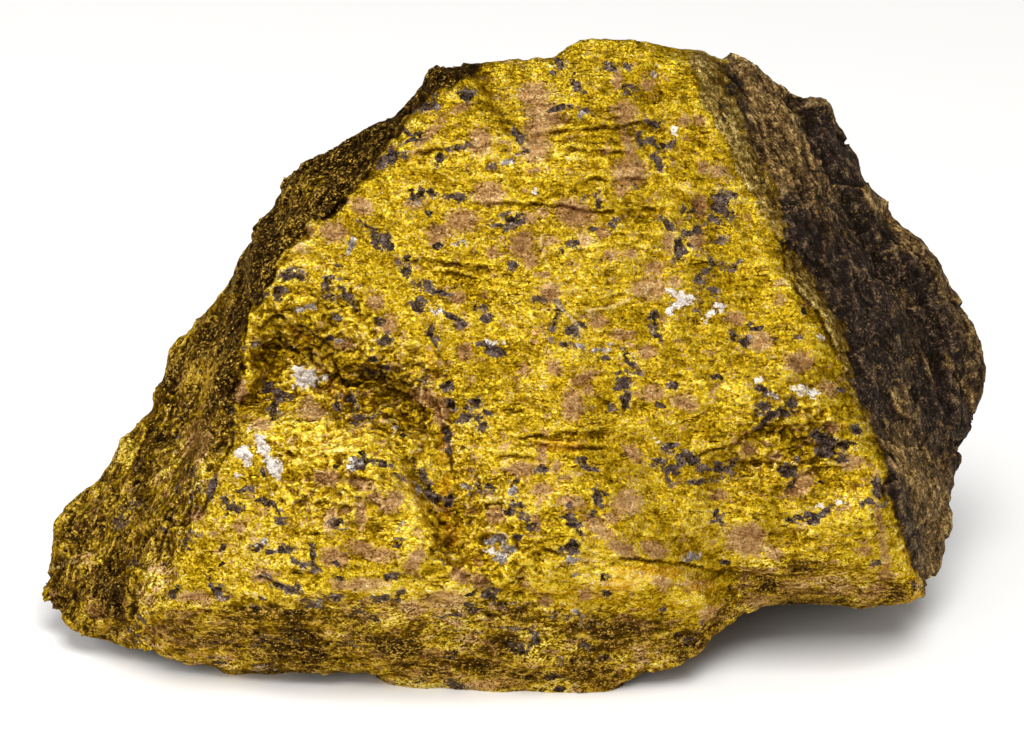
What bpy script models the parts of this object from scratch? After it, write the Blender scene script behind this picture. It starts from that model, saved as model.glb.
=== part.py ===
"""Chalcopyrite hand specimen: one broken lump of massive sulphide ore, 84 mm wide, resting on its underside.

Run it with: blender --background --python part.py

The lump has one big fresh fracture face.  It is surveyed in the frame of that face, in millimetres:
right along the face, up the face, and out of it.  Two skins, one before and one behind the lump's rim,
are stretched over the survey lines and closed into one body.  The body then gets its lumps, ledges and
hackle, leans back to the way it rests, and is broken flat where it meets the surface it stands on.
"""

import math

import bmesh
import bpy
from mathutils import Matrix, Vector, noise
from mathutils.geometry import delaunay_2d_cdt

MM = 0.001
NODE_NAME = "chalcopyrite_specimen"

# How the lump stands: the big face leans back, and its lower edge hangs a little over the ground.
FACE_LEAN = math.radians(24.0)
FACE_HEIGHT_OVER_GROUND = 2.8

# The rim, where the front skin meets the back skin, anticlockwise from the toe: (right, up, out).
LEFT_RIM = [
    (-42.3, 7.5, -15.0), (-40.8, 12.0, -15.0), (-39.5, 16.5, -16.0), (-36.5, 18.5, -15.0),
    (-34.5, 21.5, -15.0), (-32.0, 24.5, -15.0), (-31.0, 28.0, -14.5), (-28.5, 32.0, -14.0),
    (-26.0, 34.5, -13.0), (-24.0, 38.0, -13.0), (-21.5, 41.5, -13.0), (-19.5, 45.0, -12.5),
    (-14.5, 48.0, -12.0), (-9.5, 51.0, -11.0), (-7.5, 53.5, -11.0),
]
TOP_RIM = [
    (-2.0, 54.8, -9.5), (3.5, 55.3, -9.0), (6.0, 56.5, -9.0), (11.0, 56.2, -9.0),
    (16.5, 56.2, -11.0), (20.5, 55.6, -14.0), (24.5, 53.6, -16.0), (28.0, 52.0, -19.0),
]
RIGHT_RIM = [
    (30.0, 48.0, -20.0), (32.5, 43.5, -20.5), (37.8, 37.5, -21.0), (40.8, 32.5, -22.0),
    (42.0, 29.5, -22.0), (42.2, 25.5, -22.0), (40.5, 22.5, -21.5), (39.0, 20.5, -19.5),
    (38.2, 15.5, -18.0), (37.6, 11.0, -16.0), (36.5, 8.0, -13.0),
]
BOTTOM_RIM = [
    (34.0, 7.0, -12.0), (28.0, 7.0, -11.5), (22.5, 6.6, -11.0), (19.3, 6.0, -7.5),
    (17.5, 4.0, -6.5), (14.5, 2.4, -6.5), (7.5, 0.5, -7.0), (-1.0, -0.7, -7.5),
    (-6.0, 0.0, -7.5), (-16.0, 1.8, -8.0), (-23.5, 2.0, -8.5), (-30.0, 2.6, -9.5),
    (-34.5, 3.7, -11.0), (-38.5, 5.2, -13.0),
]

# The lines that the front skin is stretched over: (right, up, out).
FRONT_LINES = {
    "left ridge, between the big face and the left flank": [
        (-4.5, 52.0, -6.5), (-10.0, 46.5, -5.5), (-14.5, 43.0, -4.5), (-18.0, 39.0, -3.5),
        (-21.5, 34.0, -3.0), (-23.0, 30.0, -2.5), (-24.5, 25.0, -1.5), (-26.5, 20.5, -0.5),
        (-27.5, 15.0, 0.0), (-28.0, 10.5, -0.5), (-28.0, 8.0, -1.0),
    ],
    "brow, where the big face turns under": [
        (-28.0, 8.0, -1.0), (-23.0, 9.0, 1.0), (-18.0, 9.0, 2.0), (-12.0, 9.5, 3.0),
        (-5.0, 11.0, 3.5), (0.5, 11.5, 3.0), (7.5, 11.5, 2.5), (12.5, 10.0, 1.5), (16.5, 8.0, -1.0),
    ],
    "right brow, set back above the step": [
        (17.5, 10.5, -3.0), (21.0, 11.0, -2.5), (27.0, 11.5, -2.0), (32.0, 11.5, -3.5),
    ],
    "right ridge, between the big face and the crust": [
        (15.5, 54.5, -8.0), (17.0, 51.0, -7.0), (19.0, 46.5, -6.0), (22.0, 41.0, -5.5),
        (24.0, 36.5, -5.0), (27.5, 30.0, -4.0), (29.5, 24.5, -3.5), (32.0, 18.5, -3.5),
        (33.5, 13.0, -4.5), (35.0, 9.0, -7.0),
    ],
    "shoulder of the crust": [
        (21.5, 50.5, -10.5), (26.0, 43.5, -9.5), (29.5, 36.5, -9.5), (33.0, 29.5, -9.5),
        (35.0, 22.5, -10.0), (36.0, 15.5, -10.5), (36.0, 10.5, -10.5),
    ],
    "valley in the crust": [
        (24.5, 51.0, -14.5), (28.0, 45.0, -14.0), (31.5, 39.5, -14.5), (35.0, 34.0, -15.5),
        (37.5, 27.5, -17.0), (39.0, 22.0, -18.5),
    ],
    "bulge beyond the valley": [
        (28.5, 48.0, -16.0), (34.0, 39.5, -17.0), (38.5, 33.0, -18.5), (40.0, 27.5, -19.5),
    ],
    "lip of both hollows": [
        (-21.5, 31.5, -3.0), (-19.0, 32.8, -2.2), (-16.2, 31.2, -1.8), (-14.3, 28.8, -1.6),
        (-9.5, 29.2, -1.2), (-6.0, 27.2, -1.0),
    ],
    "floor of the left hollow": [
        (-20.6, 29.6, -5.2), (-18.2, 29.4, -5.8), (-16.2, 27.2, -5.2),
    ],
    "rise from the left hollow to its sill": [
        (-21.0, 26.2, -4.2), (-18.2, 25.6, -3.4), (-15.6, 24.4, -2.4),
    ],
    "rib between the hollows": [
        (-14.2, 27.2, -3.4), (-13.4, 24.8, -2.6),
    ],
    "floor of the right hollow": [
        (-11.3, 26.6, -4.6), (-8.2, 25.2, -4.4),
    ],
    "sill of both hollows": [
        (-22.5, 24.0, -2.8), (-19.5, 22.5, -0.4), (-15.5, 22.0, 0.8), (-10.5, 22.0, 0.6),
        (-7.0, 21.2, -0.5),
    ],
    "lip of the scallop low on the right": [
        (16.0, 20.6, -0.6), (19.5, 23.0, -0.8), (24.0, 23.6, -1.4), (28.5, 22.0, -2.4),
    ],
    "floor of the scallop low on the right": [
        (18.5, 19.2, -2.6), (23.0, 20.6, -3.4), (27.0, 19.6, -3.8),
    ],
    "gully right of the lower lobe": [
        (-5.5, 19.5, -0.8), (-4.6, 15.5, 0.0), (-3.5, 12.5, 1.5),
    ],
}
FRONT_POINTS = {
    "lower lobe": [
        (-22.0, 15.0, 2.0), (-15.5, 18.0, 3.0), (-9.5, 16.5, 3.2), (-18.0, 12.5, 3.2), (-7.5, 12.5, 4.0),
        (-12.0, 19.6, 2.4),
    ],
    "upper part of the big face": [
        (0.5, 46.5, -4.5), (7.5, 49.5, -5.5), (7.5, 38.0, -2.5), (16.0, 39.0, -3.5), (-2.5, 38.0, -2.5),
    ],
    "lower part of the big face": [
        (4.0, 25.0, 0.0), (14.0, 27.0, -1.0), (25.0, 27.5, -2.6), (-1.0, 18.5, 1.0), (7.5, 17.0, 1.5),
        (16.5, 16.0, 0.0), (23.0, 16.0, -1.2), (29.0, 15.5, -2.0),
    ],
    "left flank": [
        (-26.8, 27.6, -6.2), (-28.0, 21.0, -7.6), (-31.0, 18.0, -8.4), (-32.0, 13.5, -7.0), (-36.0, 13.5, -11.2),
        (-33.5, 8.5, -5.4), (-22.0, 38.5, -7.8), (-14.5, 45.8, -8.0),
    ],
}

# Behind the rim the lump first turns back in a narrow shoulder: this share inwards, this far back.
SHOULDER_INWARDS, SHOULDER_BACK = 0.03, 2.5

# The lines that the back skin is stretched over, as the lump stands: (x to the right, y to the back, z up).
# The sole lies below the ground, where the lump is broken flat.
BACK_LINES = {
    "edge of the sole": [
        (-30.0, 22.0, -1.5), (-18.0, 18.5, -1.5), (-2.0, 12.5, -1.5), (11.0, 16.0, -1.5), (18.0, 28.0, -1.5),
        (30.0, 32.0, -1.5), (27.0, 39.0, -1.5), (8.0, 43.0, -1.5), (-12.0, 41.0, -1.5), (-28.0, 33.0, -1.5),
        (-30.0, 22.0, -1.5),
    ],
    "hip, the farthest reach of the back": [
        (-32.0, 33.0, 12.0), (-15.0, 44.0, 15.0), (6.0, 48.0, 19.0), (25.0, 45.0, 17.0), (37.0, 38.0, 12.0),
    ],
    "upper back": [(-17.0, 38.0, 31.0), (0.0, 43.0, 37.0), (16.0, 43.0, 36.0), (27.0, 40.0, 29.0)],
}
BACK_POINTS = {
    "middle of the sole": [(-10.0, 27.0, -3.0), (8.0, 28.0, -3.0)],
}

# The texture of the break, in millimetres.
WORKING_GRID = 0.9
LUMP_SIZE, LUMP_HEIGHT = 13.0, 1.1
HACKLE_SIZE, HACKLE_HEIGHT = 3.6, 0.45
BED_SPACING, BED_HEIGHT, BED_WAVINESS = 3.2, 0.5, 1.5
TRIANGLES = 10600

SULPHIDE_COLOUR = (0.50, 0.32, 0.03, 1.0)
SULPHIDE_ROUGHNESS = 0.42


def clear_scene():
    for thing in list(bpy.data.objects):
        bpy.data.objects.remove(thing, do_unlink=True)


def face_to_standing():
    """The matrix from the frame of the big face to the frame in which the lump stands, in millimetres."""
    axes = Matrix((
        (1.0, 0.0, 0.0),
        (0.0, math.sin(FACE_LEAN), -math.cos(FACE_LEAN)),
        (0.0, math.cos(FACE_LEAN), math.sin(FACE_LEAN)),
    )).to_4x4()
    return Matrix.Translation((0.0, 0.0, FACE_HEIGHT_OVER_GROUND)) @ axes


def stretch_skin(body, rim, lines, points, faces_out):
    """Adds to body the triangles between the rim and the survey lines, as seen square to the big face."""
    places = [Vector(vert.co) for vert in rim]
    edges = [(i, (i + 1) % len(rim)) for i in range(len(rim))]
    for line in lines:
        first = len(places)
        places += [Vector(point) for point in line]
        edges += [(i, i + 1) for i in range(first, len(places) - 1)]
    for group in points:
        places += [Vector(point) for point in group]
    flat = [place.to_2d() for place in places]
    spots, _, triangles, sources, _, _ = delaunay_2d_cdt(flat, edges, [], 1, 1e-4)
    corners = []
    for spot, source in zip(spots, sources):
        if not source:
            raise ValueError(f"two survey lines cross at {tuple(spot)}")
        if min(source) < len(rim):
            corners.append(rim[min(source)])
        else:
            corners.append(body.verts.new(places[min(source)]))
    for triangle in triangles:
        order = triangle if faces_out else reversed(triangle)
        body.faces.new([corners[i] for i in order])


def shoulder_of(rim):
    """The closed line just behind the rim, where the back starts."""
    middle = sum((vert.co for vert in rim), Vector()) / len(rim)
    line = []
    for vert in rim:
        inwards = (middle - vert.co) * SHOULDER_INWARDS
        line.append(vert.co + Vector((inwards.x, inwards.y, -SHOULDER_BACK)))
    return line + line[:1]


def surveyed_body():
    """The lump's main form: both skins closed along the rim, in the frame of the big face."""
    to_face = face_to_standing().inverted()
    back_lines = [[to_face @ Vector(point) for point in line] for line in BACK_LINES.values()]
    back_points = [[to_face @ Vector(point) for point in group] for group in BACK_POINTS.values()]
    body = bmesh.new()
    rim = [body.verts.new(point) for point in LEFT_RIM + TOP_RIM + RIGHT_RIM + BOTTOM_RIM]
    stretch_skin(body, rim, FRONT_LINES.values(), FRONT_POINTS.values(), faces_out=True)
    stretch_skin(body, rim, [shoulder_of(rim)] + back_lines, back_points, faces_out=False)
    bmesh.ops.recalc_face_normals(body, faces=body.faces)
    return body


def with_modifiers(body, *settings):
    """The mesh of body after each modifier, given as (type, values)."""
    mesh = bpy.data.meshes.new("working")
    body.to_mesh(mesh)
    body.free()
    working = bpy.data.objects.new("working", mesh)
    bpy.context.scene.collection.objects.link(working)
    for kind, values in settings:
        modifier = working.modifiers.new(kind.title(), kind)
        for name, value in values.items():
            setattr(modifier, name, value)
    graph = bpy.context.evaluated_depsgraph_get()
    result = bmesh.new()
    result.from_mesh(bpy.data.meshes.new_from_object(working.evaluated_get(graph)))
    bpy.data.objects.remove(working, do_unlink=True)
    return result


def smooth_step(low, high, value):
    share = min(max((value - low) / (high - low), 0.0), 1.0)
    return share * share * (3.0 - 2.0 * share)


def bed_ledge(place):
    """Height of the ledges that the ore's parting leaves: each bed ends in a small cliff at its lower edge."""
    waved = place.y + BED_WAVINESS * noise.noise(place / 11.0)
    level = waved / BED_SPACING + 0.7 * noise.noise(Vector((7.0, waved / 6.0, 3.0)))
    rise = level - math.floor(level)
    profile = smooth_step(0.0, 0.25, rise) * (1.0 - rise)
    patchiness = smooth_step(-0.15, 0.35, noise.noise(place / 9.0 + Vector((40.0, 0.0, 0.0))))
    return BED_HEIGHT * profile * patchiness


def break_texture(place):
    """How far the broken surface stands out at this place."""
    lumps = LUMP_HEIGHT * noise.fractal(place / LUMP_SIZE, 1.0, 2.0, 3)
    hackle = HACKLE_HEIGHT * noise.turbulence(place / HACKLE_SIZE, 2, True)
    return lumps + hackle + bed_ledge(place)


def roughen(body):
    body.normal_update()
    moves = [vert.normal * break_texture(vert.co) for vert in body.verts]
    for vert, move in zip(body.verts, moves):
        vert.co += move


def drop_all_but_the_largest_patch(body):
    """Removes the scraps that a cut leaves of dents and bumps near the ground."""
    unseen = set(body.faces)
    patches = []
    while unseen:
        patch = [unseen.pop()]
        for face in patch:
            neighbours = {other for edge in face.edges for other in edge.link_faces} & unseen
            unseen -= neighbours
            patch.extend(neighbours)
        patches.append(patch)
    patches.sort(key=len)
    scraps = [face for patch in patches[:-1] for face in patch]
    bmesh.ops.delete(body, geom=scraps, context="FACES")


def break_flat(body):
    """Cuts the sole flat at the ground."""
    cut = bmesh.ops.bisect_plane(
        body,
        geom=body.verts[:] + body.edges[:] + body.faces[:],
        plane_co=(0.0, 0.0, 0.0),
        plane_no=(0.0, 0.0, 1.0),
        clear_inner=True,
    )
    drop_all_but_the_largest_patch(body)
    brim = [item for item in cut["geom_cut"] if item.is_valid and isinstance(item, bmesh.types.BMEdge)]
    bmesh.ops.contextual_create(body, geom=brim)


def ore_material():
    material = bpy.data.materials.new("chalcopyrite_ore")
    material.use_nodes = True
    shader = material.node_tree.nodes["Principled BSDF"]
    shader.inputs["Base Color"].default_value = SULPHIDE_COLOUR
    shader.inputs["Roughness"].default_value = SULPHIDE_ROUGHNESS
    shader.inputs["Metallic"].default_value = 1.0
    return material


def centred_on_ground(body):
    """Moves the middle of the lump's box to the origin, and scales it from millimetres to metres."""
    xs = [vert.co.x for vert in body.verts]
    ys = [vert.co.y for vert in body.verts]
    middle = Vector(((min(xs) + max(xs)) / 2.0, (min(ys) + max(ys)) / 2.0, 0.0))
    body.transform(Matrix.Scale(MM, 4) @ Matrix.Translation(-middle))


def build_specimen():
    body = with_modifiers(surveyed_body(), ("REMESH", {"mode": "VOXEL", "voxel_size": WORKING_GRID}))
    roughen(body)
    bmesh.ops.triangulate(body, faces=body.faces)
    share = TRIANGLES / len(body.faces)
    body = with_modifiers(body, ("DECIMATE", {"ratio": share}))
    body.transform(face_to_standing())
    break_flat(body)
    centred_on_ground(body)
    mesh = bpy.data.meshes.new(NODE_NAME)
    body.to_mesh(mesh)
    body.free()
    mesh.materials.append(ore_material())
    specimen = bpy.data.objects.new(NODE_NAME, mesh)
    bpy.context.scene.collection.objects.link(specimen)
    return specimen


clear_scene()
build_specimen()
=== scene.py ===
"""Chalcopyrite hand specimen: one broken lump of massive copper ore, as it looks on a pale table.

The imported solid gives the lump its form.  Here its skin is made fine enough to carry the hackle, ledges
and cracks of the break, and gets one ore material that tells gold sulphide, bronze patches, dark plates,
white grains and the weathered crust apart.  Lengths are in millimetres in the frame of the big fracture
face, right along it, up it and out of it, until they are turned into the row frame.
"""

import math

import bmesh
import bpy
import numpy as np
from mathutils import Matrix, Vector


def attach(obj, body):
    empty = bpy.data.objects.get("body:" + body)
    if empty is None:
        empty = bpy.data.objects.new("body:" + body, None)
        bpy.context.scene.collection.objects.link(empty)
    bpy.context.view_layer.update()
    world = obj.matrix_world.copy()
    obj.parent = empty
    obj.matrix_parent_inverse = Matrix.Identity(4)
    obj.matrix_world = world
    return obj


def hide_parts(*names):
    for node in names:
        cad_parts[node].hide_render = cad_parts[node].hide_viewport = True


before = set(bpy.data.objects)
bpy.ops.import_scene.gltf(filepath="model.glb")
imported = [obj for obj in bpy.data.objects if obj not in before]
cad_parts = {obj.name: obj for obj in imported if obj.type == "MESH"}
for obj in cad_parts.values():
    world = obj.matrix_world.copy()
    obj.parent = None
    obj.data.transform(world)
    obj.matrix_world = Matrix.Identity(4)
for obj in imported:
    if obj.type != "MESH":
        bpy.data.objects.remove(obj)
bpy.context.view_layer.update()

MM = 0.001
LUMP = "chalcopyrite_specimen"

# ---------------------------------------------------------------- the frame of the big face

FACE_LEAN = math.radians(24.0)
FACE_FOOT = np.array((-0.27, -24.48, 2.8))
FACE_AXES = np.array((
    (1.0, 0.0, 0.0),
    (0.0, math.sin(FACE_LEAN), math.cos(FACE_LEAN)),
    (0.0, -math.cos(FACE_LEAN), math.sin(FACE_LEAN)),
))
# The eye that looks square on at the face: how far up along it and out from it.
EYE_UP = 27.86
EYE_OUT = 362.0


def to_face(places):
    """Row frame in metres to the frame of the big face in millimetres."""
    return (places / MM - FACE_FOOT) @ FACE_AXES.T


def to_row(places):
    """Frame of the big face in millimetres to the row frame in metres."""
    return (places @ FACE_AXES + FACE_FOOT) * MM


def as_seen(places):
    """Where each place shows on the plane of the big face, looked at square on from arm's length."""
    nearer = EYE_OUT / (EYE_OUT - places[:, 2])
    return np.stack((places[:, 0] * nearer, EYE_UP + (places[:, 1] - EYE_UP) * nearer), axis=1)


# ---------------------------------------------------------------- marks on the lump, as seen square on

# Strokes are (right, up, length, width, turn in degrees); lines are (right, up).

# Dark plates of another sulphide, sunk a little into the gold.
DARK_PLATES = [
    (-8.1, 42.6, 2, 0.8, 45), (-7, 42.8, 1.5, 0.7, -25), (-3.8, 51.1, 1.4, 1, -40),
    (-7.4, 50.2, 1.7, 0.5, 20), (-6.4, 50.6, 1.2, 0.5, -60), (-6.8, 50, 1, 0.4, 0),
    (-8.7, 47.8, 1.4, 0.5, -30), (-7.9, 47.6, 1, 0.5, -20), (-6.2, 45.7, 1.2, 0.7, 60),
    (-4.7, 46.7, 2, 0.4, 15), (-10.5, 45.7, 2.2, 0.7, 35), (-9.1, 46, 0.5, 0.3, 0),
    (-4.8, 42.5, 1.9, 0.5, 0), (0.4, 47.8, 1, 0.6, -10), (0.8, 47.4, 1, 0.7, 30), (1.1, 46.1, 1, 0.3, 0),
    (-1.8, 45, 0.8, 0.5, 0), (6.1, 49.7, 0.5, 0.3, 0), (5, 50, 0.5, 0.3, 0), (5.5, 51.7, 1, 0.4, -50),
    (6.2, 51.2, 0.3, 0.3, 0), (4.1, 53.7, 0.8, 0.7, 30), (8.4, 53.4, 0.9, 0.7, -30),
    (9.8, 53.5, 0.9, 0.6, -30), (9.8, 51.7, 1, 0.4, 10), (10, 51.1, 0.7, 0.3, 0),
    (12.1, 48.6, 1.2, 0.6, -30), (12.7, 49, 0.5, 0.4, 0), (10.9, 47.4, 1.3, 0.6, -55),
    (12.8, 46.8, 1.3, 0.8, -35), (11.9, 47.1, 0.7, 0.5, -40), (13.8, 47, 0.5, 0.4, 0),
    (12.3, 45.5, 1.1, 0.8, -60), (12.8, 45, 0.5, 0.4, 0), (10.3, 43.3, 0.5, 0.4, 0),
    (6.7, 42.5, 1, 0.3, 10), (7.3, 41.7, 0.6, 0.6, 0), (-0.3, 40.5, 1.7, 0.7, -35),
    (-1.1, 39.9, 0.8, 0.3, -10), (0.6, 40.5, 0.8, 0.5, 0), (13.2, 40.1, 1.3, 0.5, -40),
    (14.7, 41.1, 0.5, 0.8, 0), (15.2, 41.1, 0.4, 0.7, 0), (15.4, 39.5, 1.3, 0.5, 15),
    (14.3, 38.1, 1.8, 0.8, 80), (14.1, 37.2, 0.9, 0.5, 10), (15.1, 38.5, 1.1, 0.3, -60),
    (5, 38.4, 0.6, 0.4, 0), (4.2, 37.9, 0.6, 0.4, -40), (-8.7, 37.1, 1.4, 0.4, 10),
    (-9, 36.1, 1.3, 0.7, -70), (-7, 34.8, 1.3, 0.7, -50), (-5.9, 34.2, 1.2, 0.4, -15),
    (-8, 35.1, 0.7, 0.4, -60), (0.1, 36.6, 0.8, 0.6, 0), (2.4, 33.8, 0.8, 0.4, 0),
    (-11, 38.9, 2.7, 0.9, -45), (-12.4, 39.9, 1, 0.4, -40), (-11.5, 38.3, 1, 0.5, -50),
    (8.6, 40.2, 0.5, 0.4, 0), (8.4, 39.6, 0.5, 0.4, 0), (-7.9, 33.2, 1.4, 1, 0),
    (-4.8, 32.2, 1.6, 0.6, -15), (-4.3, 31.7, 0.8, 0.7, 0), (-6.6, 30.6, 1.8, 0.8, -70),
    (-3.1, 33.2, 0.7, 0.6, -60), (-2.4, 32.9, 0.5, 0.3, 0), (-2.1, 32.1, 0.6, 0.4, 0),
    (-1.7, 29.6, 1.2, 0.8, -30), (-0.8, 29, 0.7, 0.6, 0), (2, 33.8, 0.9, 0.3, 80), (4, 33, 1.3, 0.5, -60),
    (3.5, 31.6, 1.4, 0.4, 65), (5.6, 31.6, 1.3, 0.6, -30), (5.3, 31, 1.1, 0.5, 0),
    (4.5, 29.9, 1.3, 0.4, -20), (8.1, 28.7, 0.7, 0.4, 0), (9.9, 28.6, 1.6, 0.5, -75),
    (10.4, 27.7, 0.9, 0.3, -10), (9.5, 26.6, 1.1, 1, 0), (9.6, 25.2, 1.6, 0.7, 75),
    (8.4, 24.5, 0.8, 0.5, 30), (12.1, 31.8, 1.7, 0.8, 80), (12.4, 30.6, 1, 0.5, -60),
    (11.7, 32.1, 0.7, 0.5, 0), (13.8, 26.5, 1, 0.6, -30), (-7.5, 27, 0.8, 0.4, -30),
    (-5.6, 26.5, 0.8, 0.7, 0), (-5, 24.9, 1.1, 0.7, -60), (-3.1, 25, 0.9, 0.8, 0),
    (-3.8, 24.5, 0.8, 0.4, 0), (-3.8, 23.7, 1.3, 0.5, 20), (-2.9, 23.5, 0.8, 0.5, 0),
    (-2, 24.1, 0.8, 0.4, -20), (-2.5, 22.9, 1.1, 0.6, 10), (-5.6, 22.3, 0.8, 1.1, 0),
    (-5.4, 21, 0.7, 0.3, 0), (-11.2, 19.9, 1.2, 0.6, -10), (-9.7, 18.9, 0.9, 0.3, -30),
    (-7.7, 18.9, 1.7, 0.5, -50), (-7, 17.6, 1.5, 0.6, -75), (-6.1, 17, 0.4, 0.8, 0),
    (-5.3, 16.7, 1.3, 0.8, 70), (-2.7, 17.9, 1.3, 0.3, -60), (-1.8, 18, 0.9, 0.8, 0),
    (0.2, 18.3, 0.8, 0.5, 20), (0.5, 16.4, 0.8, 0.3, 0), (-0.3, 15.9, 0.8, 0.7, 0),
    (1, 15.4, 1.2, 0.5, -70), (1.7, 14.4, 0.9, 0.5, -40), (6.1, 19.8, 1.1, 0.7, -40),
    (6.9, 19.4, 0.6, 0.3, 0), (2.5, 19.2, 0.7, 0.6, 0), (7.2, 16.9, 1.5, 0.8, -80),
    (7.7, 17.5, 0.7, 0.3, -20), (4.9, 15.1, 1.6, 0.8, -40), (5.6, 14, 0.7, 0.3, -70),
    (6.9, 15.5, 0.8, 0.3, -80), (12.8, 21, 0.8, 0.5, -30), (13.7, 21.1, 0.9, 0.8, 0),
    (14.9, 20.5, 1.4, 0.8, 0), (12.3, 19.9, 1.3, 0.5, -15), (13.6, 19.4, 1.4, 0.8, 20),
    (13.2, 18.4, 1.2, 0.3, -80), (15.5, 20, 0.9, 0.7, 0), (14.4, 19.9, 0.8, 0.7, 0),
    (16.5, 19.3, 1, 0.4, 10), (15.9, 18.3, 2.4, 0.3, 5), (17.5, 19.4, 2.2, 0.4, 0),
    (18.7, 19.8, 1.1, 0.5, 60), (18.6, 18.7, 1, 0.3, -30), (21.7, 23.7, 1.8, 0.7, 35),
    (22.7, 24.2, 1.4, 0.7, -10), (20.7, 24.1, 0.7, 0.4, 0), (21.3, 26, 1, 0.6, -20),
    (21.5, 24.8, 1.1, 0.6, 0), (23.7, 24.9, 0.8, 0.8, 0), (23.8, 24.3, 0.7, 0.3, -30),
    (25.9, 22.1, 1.3, 0.9, 0), (26.8, 21.5, 1.9, 1.1, -65), (26.5, 20.8, 1.1, 0.8, 0),
    (28.3, 21.4, 1.7, 0.7, -10), (29.3, 22.6, 1.2, 0.8, -30), (27.8, 20.2, 0.9, 0.4, 0),
    (23.2, 19.2, 1.3, 0.8, -20), (24, 19.6, 0.8, 0.4, 70), (24.2, 15, 1.7, 0.6, -8),
    (25.5, 15.1, 1.7, 0.6, 20), (26.5, 15.7, 1, 0.5, 35), (17.2, 15.6, 0.5, 0.8, 0),
    (17.5, 15.1, 0.8, 0.5, 0), (30.1, 16.6, 0.8, 0.6, 0), (31, 17.6, 2.5, 0.7, -75),
    (30.8, 11.4, 0.8, 0.4, 0), (34.1, 9.3, 0.7, 0.5, 30), (-18.8, 35.8, 1.9, 0.8, 5),
    (-17.7, 35.6, 1.4, 0.5, -10), (-19.7, 34.2, 1.2, 0.8, 80), (-15.6, 34.9, 1.3, 0.5, -60),
    (-15.4, 33.9, 1.1, 0.5, -20), (-14.2, 34.4, 1.4, 0.4, -65), (-13.7, 33.8, 0.8, 0.5, -40),
    (-11.4, 31.8, 0.8, 0.5, 0), (-10.9, 30.1, 1.4, 0.7, 45), (-20.7, 26.3, 1.1, 0.9, -45),
    (-19.7, 25.5, 1.3, 0.9, 0), (-20.2, 24.2, 1.4, 0.9, 75), (-14.8, 24.9, 1.3, 0.4, -85),
    (-13.7, 25.1, 1.3, 0.7, -60), (-12.6, 23.7, 1.1, 0.6, -20), (-11.8, 23.5, 0.7, 0.4, 0),
    (-12, 27.7, 1.1, 0.4, -20), (-10.8, 27.8, 0.9, 0.7, 20), (-22, 29.9, 0.9, 0.4, 0),
    (-21.5, 34, 1.9, 0.6, 35), (-23.7, 25.2, 0.7, 0.7, 0), (-12.9, 19.8, 1.7, 0.8, 10),
    (17.8, 42.4, 1.1, 0.8, 0), (18.7, 42.7, 0.6, 0.4, 0), (17.5, 41.6, 1.3, 0.7, 20),
    (18.2, 41.1, 1.1, 0.7, -30), (17, 40.6, 0.9, 0.6, 0), (17.7, 40.2, 0.6, 0.3, 0),
    (15.9, 39.8, 1.2, 0.3, 10), (17.6, 38.8, 0.8, 0.3, 0), (17.1, 36.9, 0.8, 0.4, -50),
    (17.8, 36.4, 0.8, 0.3, -50), (19, 36.6, 0.7, 0.5, 60), (16.5, 36.1, 1.4, 0.6, 30),
    (15.9, 35.5, 0.8, 0.5, 0), (16.9, 34.5, 1.2, 0.4, -10), (15.7, 32.8, 0.6, 0.3, -60),
    (18.8, 30.6, 0.7, 0.4, -30), (19.8, 30, 1.1, 0.8, 60), (17.7, 27.2, 0.6, 0.5, 0),
    (24.2, 30.4, 0.6, 0.4, 0), (-27.3, 19, 1.1, 0.8, 70), (-27, 17.4, 1.5, 0.5, 70),
    (-25.4, 17.7, 1.7, 0.6, 80), (-23.6, 16, 1.3, 0.8, 20), (-24.1, 16.5, 1, 0.3, 0),
    (-22.8, 17.6, 1.2, 0.3, 0), (-21.2, 16.7, 1.5, 0.5, -15), (-20.4, 16.2, 1.2, 0.4, -30),
    (-14.8, 14.7, 1.1, 0.5, 10), (-19.7, 14.9, 0.7, 0.3, 0), (-21.8, 12.6, 0.9, 0.5, 0),
    (-19.2, 12.6, 1.5, 0.4, 10), (-18.5, 11.5, 0.9, 0.5, -30), (-17.7, 11.2, 1, 0.4, -20),
    (-17.1, 12.1, 1.7, 0.5, 85), (-16.5, 11, 1, 0.4, -20), (-20.8, 10.2, 1.2, 0.3, -20),
    (-19.7, 9.5, 1.7, 0.5, -20), (-18.6, 9.2, 0.9, 0.3, 0), (-25.1, 9.1, 0.9, 0.7, 0),
    (-25.8, 10.1, 0.9, 0.3, -60), (-24.3, 8.4, 0.8, 0.5, 0), (-28.6, 9, 1, 0.7, 40),
    (-17.1, 7.9, 1.4, 0.5, 0), (-15, 8.5, 1.7, 0.4, 5), (-12, 6.8, 1.7, 0.5, -40),
    (-13.1, 7.3, 1.2, 0.3, 0), (-10.2, 10.1, 1, 0.6, 10), (-14.6, 10.1, 0.7, 0.4, 0),
    (-9.8, 8.5, 0.9, 0.4, 30), (-11.2, 8.4, 1.4, 0.3, 0), (-21.2, 5.1, 1.7, 0.6, -10),
    (-19.7, 4.6, 1.5, 0.5, -20), (-25.6, 4.7, 1.9, 0.4, 0), (-9.9, 4, 0.8, 0.5, -60),
    (-9.7, 13.1, 0.8, 0.7, 0), (-6.7, 14.6, 0.3, 0.6, 0), (-3.6, 7.6, 1, 0.7, -50),
    (-4.8, 6.8, 1.7, 0.3, 0), (-4.8, 5.7, 1, 0.3, 0), (-7.8, 1.4, 0.8, 0.4, 0), (-5.7, 1.6, 0.8, 0.5, 0),
    (0.3, 4.4, 1.4, 0.7, 10), (-0.6, 4.6, 0.8, 0.8, 0), (2, 4.7, 0.8, 0.7, 0), (14, 5.1, 0.9, 0.4, -20),
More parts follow.
